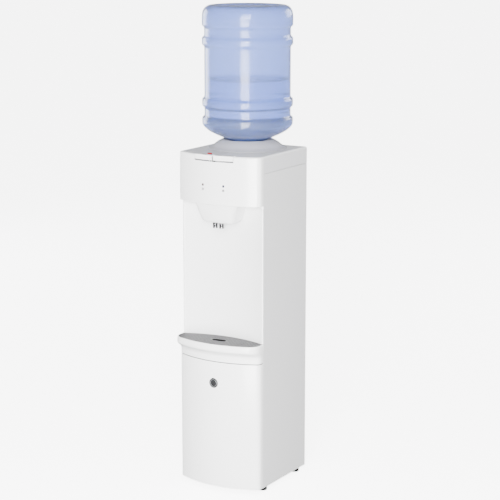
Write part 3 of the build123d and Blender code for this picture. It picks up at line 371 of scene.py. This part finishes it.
markGrey = grainFinish("markGrey", (0.02, 0.02, 0.021), 0.6, mottle=0.06)
bottleBlue = grainFinish("bottleBlue", (0.31, 0.39, 0.66), 0.19, grain=55, depth=0.0004, mottle=0.02, patch=14,
                         spread=0.03, Transmission_Weight=0.86, IOR=1.35)
waterClear = grainFinish("waterClear", (0.60, 0.70, 0.90), 0.02, grain=20, depth=0.0001, mottle=0.01, spread=0.01,
                         Transmission_Weight=1.0, IOR=1.2)

finishOf = {
    whitePlastic: ["lower_front_panel", "tray_apron", "niche_panel", "head_panel", "faucet_shroud",
                   "hot_button", "cold_button"],
    collarPlastic: ["bottle_collar"],
    coverShadedPlastic: ["top_cover"],
    whiteSteel: ["left_side_panel", "right_side_panel"],
    galvanised: ["base_pan", "back_panel", "tank_shelf"],
    trayPlastic: ["drip_tray"],
    grillePlastic: ["drip_grille"],
    stainless: ["cold_tank", "hot_tank", "badge", "heater_band", "hot_thermostats"],
    lensRed: ["hot_indicator"],
    lensBlue: ["cold_indicator"],
    lockRed: ["child_lock_tab", "hot_switch"],
    rockerGreen: ["cold_switch"],
    chrome: ["hot_nozzle", "cold_nozzle"],
    valvePlastic: ["hot_valve", "cold_valve", "hot_valve_rod", "cold_valve_rod", "tank_lid", "feed_probe",
                   "bottle_cap", "water_fill", "water_bottle"],
    boardGreen: ["control_board"],
    copper: ["evaporator_coil", "discharge_line", "suction_line", "filter_drier"],
    foam: ["tank_insulation", "hot_tank_jacket"],
    silicone: ["cold_outlet_tube", "hot_outlet_tube", "hot_feed_tube", "drain_tube"],
    rubber: ["foot_front_left", "foot_front_right", "foot_rear_left", "foot_rear_right", "compressor_grommets",
             "cord_gland"],
    paintBlack: ["compressor", "condenser"],
    darkPlastic: ["switch_plate", "drain_outlet", "drain_cap"],
}
for finish, names in finishOf.items():
    for name in names:
        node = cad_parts[name]
        node.data.materials.clear()
        node.data.materials.append(finish)
print("finishes made")

bottle = {
    "middle": (0, 41.5), "sides": 128, "wall": 1.6,
    # (radius, height) from the mouth up
    "profile": [(27.4, 958.2), (27.4, 1000), (27.4, 1016), (29.5, 1022), (36, 1032), (46, 1041.5), (60, 1049.8),
                (72, 1055.2), (84, 1060.4), (96, 1065.8), (108, 1071.8), (118, 1077.8), (127, 1085.4), (132.5, 1091.4),
                (135.4, 1097), (135.9, 1101), (136, 1107), (135.9, 1113), (135.2, 1116), (131.5, 1119.4),
                (129.3, 1122.2),
                (129, 1126), (129, 1142), (129.4, 1146), (132.5, 1149.2), (135.2, 1152), (135.9, 1156), (136, 1162),
                (135.9, 1168), (135.2, 1172), (131.5, 1175.2), (129.4, 1178.2), (129, 1183), (129, 1230), (129, 1280),
                (129, 1323), (129.4, 1328), (132, 1331), (135.2, 1334), (135.9, 1338), (136, 1344), (135.9, 1350),
                (135.2, 1354), (131.5, 1357.2), (129.4, 1360.2), (129, 1365), (129, 1379), (129.4, 1384),
                (132, 1387), (135.2, 1390), (135.9, 1394), (136, 1402), (136, 1412), (135.6, 1421), (134.2, 1429),
                (131.2, 1436.4), (126.6, 1442.6), (120.6, 1447), (114.5, 1449.3), (108, 1449.9),
                (102, 1448.8), (95, 1446.2), (88, 1445.4), (40, 1445), (1, 1445)],
}
shell = tube(bottle["profile"], bottle["middle"], bottle["sides"], closeStart=False)
hollow(shell, bottle["wall"])
finishPiece(shell, "bottleShell", "bottle", bottleBlue, ["water_bottle"], smooth=50)

water = {
    "gap": 1.9, "level": 1231, "floor": 998,
    # the water is raised a little where the bottle slopes inward to its neck
    "slope": (1018, 1095), "rise": 1.2,
    # (radius, height above the level) where the surface climbs the wall
    "meniscus": [(126.9, -1), (127.1, 0), (126.2, -0.6), (122, -0.9)],
}
inside = [(r - water["gap"], z) for r, z in bottle["profile"] if water["floor"] <= z < water["level"] - 2]
inside[0] = (inside[0][0], water["floor"])
inside = [(r, z + (water["rise"] if water["slope"][0] < z < water["slope"][1] else 0)) for r, z in inside]
inside += [(r, water["level"] + z) for r, z in water["meniscus"]]
fill = tube(inside, bottle["middle"], bottle["sides"])
finishPiece(fill, "waterBody", "bottle", waterClear, ["water_fill"], smooth=50)

collar = {
    "sides": 128,
    # (radius, height) round the whole section, from the outer brim over the top, down the feed well and back
    "profile": [(110, 1023.3), (116.5, 1023.3), (117.8, 1023.8), (117.9, 1024.8), (116.6, 1026), (109.5, 1028.6),
                (103, 1032.8), (97.5, 1037.4), (92, 1041.6), (86, 1045.2), (80, 1048.3), (76, 1050.1),
                (73.6, 1051), (71.6, 1050.9), (69.5, 1049.9), (60, 1045.6), (50, 1040), (42, 1033.4), (36.4, 1025),
                (33.2, 1018.4), (33, 1016), (33, 944.8), (7.2, 944.6), (7, 942.2), (35.4, 942.1), (35.5, 944),
                (35.5, 1017), (43, 1028), (70, 1045.6), (85.4, 1037), (85.5, 1018.4),
                (87.9, 1018.2), (88, 1023.2), (88, 1035), (106, 1025.2), (110, 1023.3)],
}
cone = tube(collar["profile"], bottle["middle"], collar["sides"], closeStart=False, closeEnd=False)
finishPiece(cone, "collarCone", "collar", collarPlastic, ["bottle_collar"], smooth=38)
print("bottle, water and collar made")

# an outline's bow is (half width, front, bow radius, corner radius)
door = {
    "bow": (140, -158, 295, 17), "back": -103, "wall": 2.5,
    # (height, inset)
    "levels": [(12.1, 1.3), (12.5, 0.5), (13.4, 0.05), (14.6, 0), (200, 0), (398.8, 0), (400, 0.1), (401, 0.7),
               (401.4, 1.7)],
}


def drawnIn(bow, inset):
    # a bowed outline drawn in by an inset on every side but the back
    half, frontY, radius, corner = bow
    return half - inset, frontY + inset, radius - inset, corner - inset


badge = {
    "middle": (0, 336), "sides": 64, "recess": {"radius": 15.25, "front": -159.5, "back": -156.75},
    # (radius, y), from the back to the face
    "disc": [(14.95, -156.9), (14.95, -158.2), (14.6, -158.65), (13.9, -158.85), (13.0, -158.7), (12.6, -158.4),
             (6, -158.65), (0.5, -158.7)],
    "ring": [(11.2, -158.1), (11.2, -158.75), (10.9, -158.9), (9.9, -158.9), (9.6, -158.75), (9.6, -158.1)],
}
panel = bowStack([(*drawnIn(door["bow"], inset), door["back"], height) for height, inset in door["levels"]])
hollow(panel, door["wall"])
recess = badge["recess"]
cutWith(panel, peg(recess["radius"], recess["front"], recess["back"], badge["middle"], badge["sides"], "Y"))
finishPiece(panel, "doorPanel", "cabinet", whitePlastic, ["lower_front_panel"], smooth=32)
disc = spunFace(badge["disc"], badge["middle"], badge["sides"])
finishPiece(disc, "badgeDisc", "cabinet", badgeDark, ["badge"], smooth=35)
ring = spunFace(badge["ring"], badge["middle"], badge["sides"])
finishPiece(ring, "badgeRing", "cabinet", badgeBright, ["badge"], smooth=35)
print("door and badge made")

apron = {
    "bow": door["bow"], "rim": (143, -183, 320, 40), "back": -103,
    # (height, share of the way out to the rim, extra inset)
    "levels": [(403.3, 0, 1.7), (403.7, 0, 0.7), (404.7, 0, 0.1), (406, 0, 0), (414, 0, 0), (418, 0.01, 0),
               (421.5, 0.035, 0), (424.5, 0.08, 0), (427.5, 0.16, 0), (430.5, 0.28, 0), (433.5, 0.45, 0),
               (436.5, 0.66, 0), (439, 0.82, 0), (441.5, 0.94, 0), (444, 0.99, 0), (447, 1, 0), (453, 1, 0),
               (456, 1, 0.1), (458.6, 1, 0.6), (460.4, 1, 1.3), (461.4, 1, 2.0), (461.9, 1, 2.8)],
    # a dark strip set back in the seam between the door and the rim: painted shade for the gap
    "seamShade": [(401.2, 0, 1.5), (401.5, 0, 1.1), (403.1, 0, 1.1), (403.5, 0, 1.5)],
    # (height, inset) of the hollow for the tray
    "pocket": [(443.0, 3.5), (458, 3.5), (460.6, 3.4), (461.4, 3.1), (463, 2.4)],
    "deck": {"low": (-138.6, -104, 440.8), "high": (138.6, -67.8, 461.9), "round": 0.6},
}
# the niche's face is an arc, and so is the tray's back: an outline with this inset ends on the face
nicheFace = {"front": -75, "radius": 331.67, "inset": 3}


def apronLevel(height, share, inset):
    between = [a + (b - a) * share for a, b in zip(apron["bow"], apron["rim"])]
    return (*drawnIn(between, inset), apron["back"], height)


def trayBack(inset):
    # the centre, in y, of the arc of the tray's back
    return nicheFace["front"] - (inset - nicheFace["inset"]) - nicheFace["radius"]


def lensPath(inset, height):
    # the tray's outline: bowed to the front, and at the back an arc
    half, frontY, radius, corner = drawnIn(apron["rim"], inset)
    middleY = trayBack(inset)
    backY = middleY + math.sqrt(nicheFace["radius"] ** 2 - half ** 2)
    piece = bowPath(half * mm, frontY * mm, radius * mm, corner * mm, backY * mm, height * mm)
    pick(piece, "VERT", lambda place, way: place.x > (half - 0.01) * mm and place.y > (backY - 0.01) * mm)
    spread = 2 * math.asin(half / nicheFace["radius"])
    bpy.ops.mesh.spin(steps=40, angle=-spread, center=(0, middleY * mm, height * mm), axis=(0, 0, 1))
    bpy.ops.mesh.select_all(action="SELECT")
    bpy.ops.mesh.remove_doubles(threshold=0.00002)
    closeMesh()
    return piece


def lensBlock(levels):
    # levels are (height, inset)
    outlines = [lensPath(inset, height) for height, inset in levels]
    return stackOutlines(outlines, [height * mm for height, inset in levels])


# the dark strip in the seam between the door and the tray rim is painted shade for the gap
seamShade = bowStack([apronLevel(*level) for level in apron["seamShade"]])
finishPiece(seamShade, "doorSeamShade", "cabinet", darkPlastic)
rim = bowStack([apronLevel(*level) for level in apron["levels"]])
openWhole(rim, "EDGE")
bpy.ops.mesh.region_to_loop()
bpy.ops.mesh.edge_face_add()
closeMesh()
fixNormals(rim)
cutWith(rim, lensBlock(apron["pocket"]))
deck = softBox(apron["deck"]["low"], apron["deck"]["high"], apron["deck"]["round"], 3)
cutWith(deck, lensBlock(apron["pocket"]))
finishPiece(deck, "trayDeck", "cabinet", whitePlastic, ["tray_apron"])
finishPiece(rim, "trayRim", "cabinet", whitePlastic, ["tray_apron"], smooth=32)
print("tray rim made")

grille = {
    "levels": [(459.0, 6.9), (459.3, 6.6), (461.1, 6.6), (461.5, 7.0)], "cut": (458, 463),
    # the holes: spacing across and to the back, radius, first row, columns, and the plate's edge that stays whole
    "pitch": 8.4, "rowStep": 6.2, "hole": 2.6, "firstRow": -179, "columns": 35, "reach": 108, "edge": 10.1,
    "slot": {"y": -126, "length": 48, "width": 20, "lip": 4.2},
}
plate = lensBlock(grille["levels"])


def insideLens(x, y, inset):
    half, frontY, radius, corner = drawnIn(apron["rim"], inset)
    cornerY, spread = bowCorner(half, frontY, radius, corner)
    if abs(x) > half or y > trayBack(inset) + math.sqrt(nicheFace["radius"] ** 2 - x * x):
        return False
    if abs(x) > half - corner and y < cornerY:
        return math.hypot(abs(x) - half + corner, y - cornerY) < corner
    return math.hypot(x, y - frontY - radius) < radius


slot = grille["slot"]
low, high = grille["cut"]
firstX = -(grille["columns"] // 2) * grille["pitch"]
drill = peg(grille["hole"], low, high, (firstX, grille["firstRow"]), 8)
addModifier(drill, "ARRAY", count=grille["columns"], use_relative_offset=False, use_constant_offset=True,
            constant_offset_displace=(grille["pitch"] * mm, 0, 0))
addModifier(drill, "ARRAY", count=int(grille["reach"] / grille["rowStep"]) + 1, use_relative_offset=False,
            use_constant_offset=True, constant_offset_displace=(0, grille["rowStep"] * mm, 0))


def wanted(place):
    # whether the hole that this corner belongs to lies in the plate and clear of the finger slot
    y = grille["firstRow"] + round((place.y / mm - grille["firstRow"]) / grille["rowStep"]) * grille["rowStep"]
    x = round(place.x / mm / grille["pitch"]) * grille["pitch"]
    straight = max(0, abs(x) - (slot["length"] - slot["width"]) / 2)
    clear = math.hypot(straight, y - slot["y"]) > slot["width"] / 2 + slot["lip"]
    return clear and insideLens(x, y, grille["edge"])


pick(drill, "VERT", lambda place, way: not wanted(place))
bpy.ops.mesh.delete(type="VERT")
closeMesh()
cutWith(plate, drill)
slotEnd, slotHalf = (slot["length"] - slot["width"]) / 2, slot["width"] / 2
for x in (-slotEnd, slotEnd):
    cutWith(plate, peg(slotHalf, low, high, (x, slot["y"]), 40))
cutWith(plate, softBox((-slotEnd, slot["y"] - slotHalf, low), (slotEnd, slot["y"] + slotHalf, high), 0.01, 1))
finishPiece(plate, "grillePlate", "drip_grille", grillePlastic, ["drip_grille"], smooth=30)
print("grille made")

shroud = {
    "wall": 2.0, "back": -84,
    # (height, half, front)
    "levels": [(822.05, 44, -133), (822.3, 47, -135.4), (823.4, 49.6, -137.4), (825.4, 51.4, -139),
               (828.5, 53, -140.6), (836, 56, -143), (848, 60, -146.6), (862, 64.8, -150.6), (870, 67.6, -152.8),
               (877.6, 70, -154.9)],
    "radius": 295, "corner": 14,
}
nozzle = {
    "middles": {"hot": (-11, -126), "cold": (11, -126)}, "hole": 8, "cut": (814.5, 829.5),
    "profile": [(5.5, 803.6), (6.0, 803.1), (6.9, 803.1), (7.4, 803.7), (7.45, 806), (6.9, 807), (6.9, 808.4),
                (7.45, 809.4), (7.45, 822), (7.45, 844.8), (8.9, 845.4), (8.95, 849.8), (5.6, 849.9), (5.5, 848),
                (5.5, 803.6)],
}
nose = bowStack([(half, frontY, shroud["radius"], shroud["corner"], shroud["back"], height)
                 for height, half, frontY in shroud["levels"]], capTop=False)
hollow(nose, shroud["wall"])
for place in nozzle["middles"].values():
    cutWith(nose, peg(nozzle["hole"], *nozzle["cut"], place, 40))
finishPiece(nose, "faucetNose", "cabinet", whitePlastic, ["faucet_shroud"], smooth=50)

for side, place in nozzle["middles"].items():
    spout = tube(nozzle["profile"], place, 48, closeStart=False, closeEnd=False)
    finishPiece(spout, side + "Spout", "cabinet", chrome, [side + "_nozzle"], smooth=35)
print("shroud and spouts made")

buttons = {
    "low": 1009.1, "high": 1023.9, "front": -159.4, "depth": 20.1, "half": 64.7, "gap": 2.5, "round": 2.0,
    # the keys follow the cabinet's bow, spun about its centre
    "centreY": 137, "spread": 14.6,
}
for side, sign in (("hot", -1), ("cold", 1)):
    deselectAll()
    bpy.ops.mesh.primitive_plane_add(size=1, rotation=(math.pi / 2, 0, math.pi / 2), location=(
        0, (buttons["front"] + buttons["depth"] / 2) * mm, (buttons["low"] + buttons["high"]) / 2 * mm))
    key = bpy.context.object
    key.scale = (buttons["depth"] * mm, (buttons["high"] - buttons["low"]) * mm, 1)
    bpy.ops.object.transform_apply(location=True, rotation=True, scale=True)
    openWhole(key)
    bpy.ops.mesh.spin(steps=24, angle=-sign * math.radians(buttons["spread"]), center=(0, buttons["centreY"] * mm, 0),
                      axis=(0, 0, 1))
    for end, way in (("gap", -sign), ("half", sign)):
        bpy.ops.mesh.select_all(action="SELECT")
        bpy.ops.mesh.bisect(plane_co=(sign * buttons[end] * mm, 0, 0), plane_no=(way, 0, 0), use_fill=True,
                            clear_outer=True)
    closeMesh()
    fixNormals(key)
    addModifier(key, "BEVEL", width=buttons["round"] * mm, segments=3, limit_method="ANGLE",
                angle_limit=math.radians(40))
    finishPiece(key, side + "Key", side + "_button", whitePlastic, [side + "_button"], smooth=40)

# dark blocks under the keys and in the gap between them: painted shade for the gaps round the keys. Each block is its
# two corners, its rounding and the rounding's segments
well = {
    "underShade": ((-65.9, -149.2, 1004.2), (65.9, -145.6, 1005.4), 0.3, 2),
    "gapShade": ((-2.2, -155.6, 1004.2), (2.2, -145.6, 1020.5), 0.15, 2),
}
finishPiece(softBox(*well["underShade"]), "keyUnderShade", "cabinet", collarPlastic)
finishPiece(softBox(*well["gapShade"]), "keyGapShade", "cabinet", darkPlastic)

lock = {
    "tab": ((-34, -133, 1020.2), (-20, -127, 1026.4), 1.3, 4),
    "foot": ((-34, -136, 1018.6), (-20, -124, 1019.9), 0.4, 2),
    # the grip ridges on top
    "ridgeX": (-31.5, -29, -26.5, -24), "ridgeY": (-132.2, -127.8), "ridgeZ": (1026.2, 1026.49), "ridgeWidth": 1,
}
(frontY, backY), (low, high) = lock["ridgeY"], lock["ridgeZ"]
tab = softBox(*lock["tab"])
ridges = [softBox((x, frontY, low), (x + lock["ridgeWidth"], backY, high), 0.12, 2) for x in lock["ridgeX"]]
tab = joinPieces([tab, softBox(*lock["foot"])] + ridges)
finishPiece(tab, "lockTab", "child_lock", lockRed, ["child_lock_tab"])
print("keys and lock made")

niche = {
    "centreY": nicheFace["front"] - nicheFace["radius"], "radius": nicheFace["radius"],
    "low": 462.2, "high": 877.9, "wall": 2.2, "cove": 18, "coveSpread": 24.6,
    # half of the plan, from the side round a narrow land to where the hollow starts
    "edge": [(139.7, -98), (139.7, -103.5), (139.4, -104.1), (138.8, -104.4), (135.5, -104.45), (134.6, -104.1),
             (133.8, -103.4), (133, -102.6), (132, -102.2), (131, -101.967)],
}
left = [(-x, y) for x, y in niche["edge"]]
recessWall = startPoint((left[0][0] * mm, left[0][1] * mm, niche["low"] * mm))
for (x, y), (nextX, nextY) in zip(left, left[1:]):
    runPoint(((nextX - x) * mm, (nextY - y) * mm, 0))
turnAngle = 2 * math.asin(niche["edge"][-1][0] / niche["radius"])
bpy.ops.mesh.spin(steps=48, angle=turnAngle, center=(0, niche["centreY"] * mm, niche["low"] * mm), axis=(0, 0, 1))
right = niche["edge"][::-1]
for (x, y), (nextX, nextY) in zip(right, right[1:]):
    runPoint(((nextX - x) * mm, (nextY - y) * mm, 0))
bpy.ops.mesh.select_all(action="SELECT")
bpy.ops.mesh.extrude_region_move(TRANSFORM_OT_translate={"value": (0, 0, (niche["high"] - niche["low"]) * mm)})
bpy.ops.mesh.select_all(action="SELECT")
bpy.ops.mesh.normals_make_consistent(inside=False)
closeMesh()
if sum(face.normal.y for face in recessWall.data.polygons) > 0:
    openWhole(recessWall)
    bpy.ops.mesh.flip_normals()
    closeMesh()
hollow(recessWall, niche["wall"])
finishPiece(recessWall, "nicheWall", "cabinet", whitePlastic, ["niche_panel"], smooth=40)

# the hollow moulding that leads from the niche's face into the head's underside
coves = []
outer, reach = niche["radius"] - 0.1, niche["cove"]
bend = [(outer - reach + reach * math.cos(math.radians(a)), niche["high"] - reach + reach * math.sin(math.radians(a)))
        for a in range(0, 91, 15)] + [(outer, niche["high"])]
for sign in (-1, 1):
    deselectAll()
    cove = startPoint((0, (niche["centreY"] + bend[0][0]) * mm, bend[0][1] * mm))
    for (r, z), (nextR, nextZ) in zip(bend, bend[1:]):
        runPoint((0, (nextR - r) * mm, (nextZ - z) * mm))
    bpy.ops.mesh.select_all(action="SELECT")
    bpy.ops.mesh.edge_face_add()
    bpy.ops.mesh.spin(steps=24, angle=sign * math.radians(niche["coveSpread"]), center=(0, niche["centreY"] * mm, 0),
                      axis=(0, 0, 1))
    closeMesh()
    pick(cove, "FACE", lambda place, way: abs(place.x) < 0.00001)
    bpy.ops.mesh.delete(type="FACE")
    closeMesh()
    coves.append(cove)
cove = joinPieces(coves)
fixNormals(cove)
finishPiece(cove, "nicheCove", "cabinet", whitePlastic, ["niche_panel"], smooth=40)
print("niche made")

lens = {
    "middles": {"hot": (-35, 935), "cold": (35, 935)}, "faces": {"hot": lensRed, "cold": lensBlue},
    "profile": [(2.0, -152), (2.0, -155.6), (3.9, -155.6), (4.0, -155.95), (3.6, -156.35), (1.8, -156.8),
                (0.2, -156.9)],
}
for side, place in lens["middles"].items():
    bead = spunFace(lens["profile"], place, 32)
    finishPiece(bead, side + "Lens", "cabinet", lens["faces"][side], [side + "_indicator"], smooth=40)

marks = {
    "x": 35, "z": 922, "face": -156.2, "thick": 0.45, "bar": 1.6, "lean": 6.8,
    # each bar is (offset, length, angle)
    "hot": [(-2.6, 5.6, 0), (0, 8.6, 0), (2.6, 5.6, 0)], "cold": [(0, 8.6, 0), (0, 8.6, 60), (0, 8.6, 120)],
}
for side, sign in (("hot", -1), ("cold", 1)):
    bars = []
    for offset, length, angle in marks[side]:
        bar = softBox((offset - marks["bar"] / 2, 0, -length / 2),
                      (offset + marks["bar"] / 2, marks["thick"], length / 2), 0.12, 2)
        if angle:
            openWhole(bar)
            bpy.ops.transform.rotate(value=math.radians(angle), orient_axis="Y", center_override=(0, 0, 0))
            closeMesh()
        bars.append(bar)
    mark = joinPieces(bars)
    openWhole(mark)
    bpy.ops.transform.rotate(value=-sign * math.radians(marks["lean"]), orient_axis="Z", center_override=(0, 0, 0))
    bpy.ops.transform.translate(value=(sign * marks["x"] * mm, marks["face"] * mm, marks["z"] * mm))
    closeMesh()
    finishPiece(mark, side + "Mark", "cabinet", markGrey)

feet = {
    "middles": {"front_left": (-125, -80), "front_right": (125, -80), "rear_left": (-125, 118),
                "rear_right": (125, 118)},
    "profile": [(0.4, 0.02), (11.9, 0.02), (13.2, 0.4), (13.9, 1.4), (14, 2.2), (14, 9.6), (13.6, 10.7), (12.6, 11.3),
                (3.1, 11.4), (3, 12), (3, 23.9), (0.4, 23.9)],
    "sides": 72,
}
for name, (x, y) in feet["middles"].items():
    foot = tube(feet["profile"], (x, y), feet["sides"])
    # grip flutes round the pad's side
    pick(foot, "VERT", lambda place, way: math.hypot(place.x - x * mm, place.y - y * mm) > 0.0135 and
         int((math.degrees(math.atan2(place.y - y * mm, place.x - x * mm)) + 362.5) / 5) % 3 == 0)
    bpy.ops.transform.resize(value=(0.95, 0.95, 1), center_override=(x * mm, y * mm, 0))
    closeMesh()
    finishPiece(foot, "foot_" + name + "_pad", "foot_" + name, rubber, ["foot_" + name], smooth=25)

screws = {
    "spots": [(x, z) for x in (-133, 133) for z in (40, 250, 480, 710, 940)] + [(0, 952), (0, 24)],
    "head": [(3.6, 158.05), (3.6, 158.5), (3.312, 159.0), (2.52, 159.4), (1.08, 159.6), (0.1, 159.62)],
    # half sizes of the two bars of the cross
    "cross": ((2.2, 0.35), (0.35, 2.2)),
}
heads = []
for x, z in screws["spots"]:
    head = spunFace(screws["head"], (x, z), 24)
    for wide, tall in screws["cross"]:
        cutWith(head, softBox((x - wide, 158.9, z - tall), (x + wide, 160, z + tall), 0.05, 1))
    heads.append(head)
finishPiece(joinPieces(heads), "backScrews", "cabinet", stainless, smooth=40)
print("marks, feet and screws made")

floorSize = 400
bpy.ops.object.select_all(action="DESELECT")
bpy.ops.mesh.primitive_plane_add(size=floorSize, location=(0, 0, 0))
floor = bpy.context.object
floor.name = "floor"
floor.data.materials.append(floorPaint)
# the floor shows, but the lamps alone light the object
floor.visible_diffuse = False
floor.visible_glossy = False

lamps = {
    "keyLight": {"place": (1.22, -2.74, 0.98), "aim": (0, 0, 0.98), "size": (1.1, 1.9), "power": 350},
    "topLight": {"place": (2.6, -4.9, 3.0), "aim": (0, 0, 0.75), "size": (2.2, 2.6), "power": 420},
    "doorGlow": {"place": (0.445, -1.22, 0.17), "aim": (0.1, 0, 0.17), "size": (0.4, 0.28), "power": 14},
    "leftFill": {"place": (-4.2, 1.3, 1.5), "aim": (0, 0, 0.7), "size": (2.0, 2.4), "power": 150},
    "backFill": {"place": (1.5, 4.5, 2.4), "aim": (0, 0, 0.8), "size": (3.0, 2.0), "power": 160},
}
for name, lamp in lamps.items():
    bpy.ops.object.light_add(type="AREA", location=lamp["place"])
    light = bpy.context.object
    light.name = name
    light.visible_camera = False
    light.data.shape = "RECTANGLE"
    light.data.size, light.data.size_y = lamp["size"]
    light.data.energy = lamp["power"]
    toward = Vector(lamp["aim"]) - Vector(lamp["place"])
    light.rotation_euler = toward.to_track_quat("-Z", "Y").to_euler()

world = bpy.data.worlds.new("studio")
bpy.context.scene.world = world
world.use_nodes = True
sky = world.node_tree.nodes["Background"]
sky.inputs["Color"].default_value = (1, 1, 1, 1)
sky.inputs["Strength"].default_value = 0.6

view = {"place": (2.535, -4.197, 1.716), "azimuth": 30.8, "elevation": 11.54, "lens": 118.84}
bpy.ops.object.camera_add(location=view["place"])
camera = bpy.context.object
camera.rotation_euler = (math.radians(90 - view["elevation"]), 0, math.radians(view["azimuth"]))
camera.data.lens = view["lens"]
camera.data.sensor_width = 36
camera.data.clip_end = 600
bpy.context.scene.camera = camera
print("studio ready")
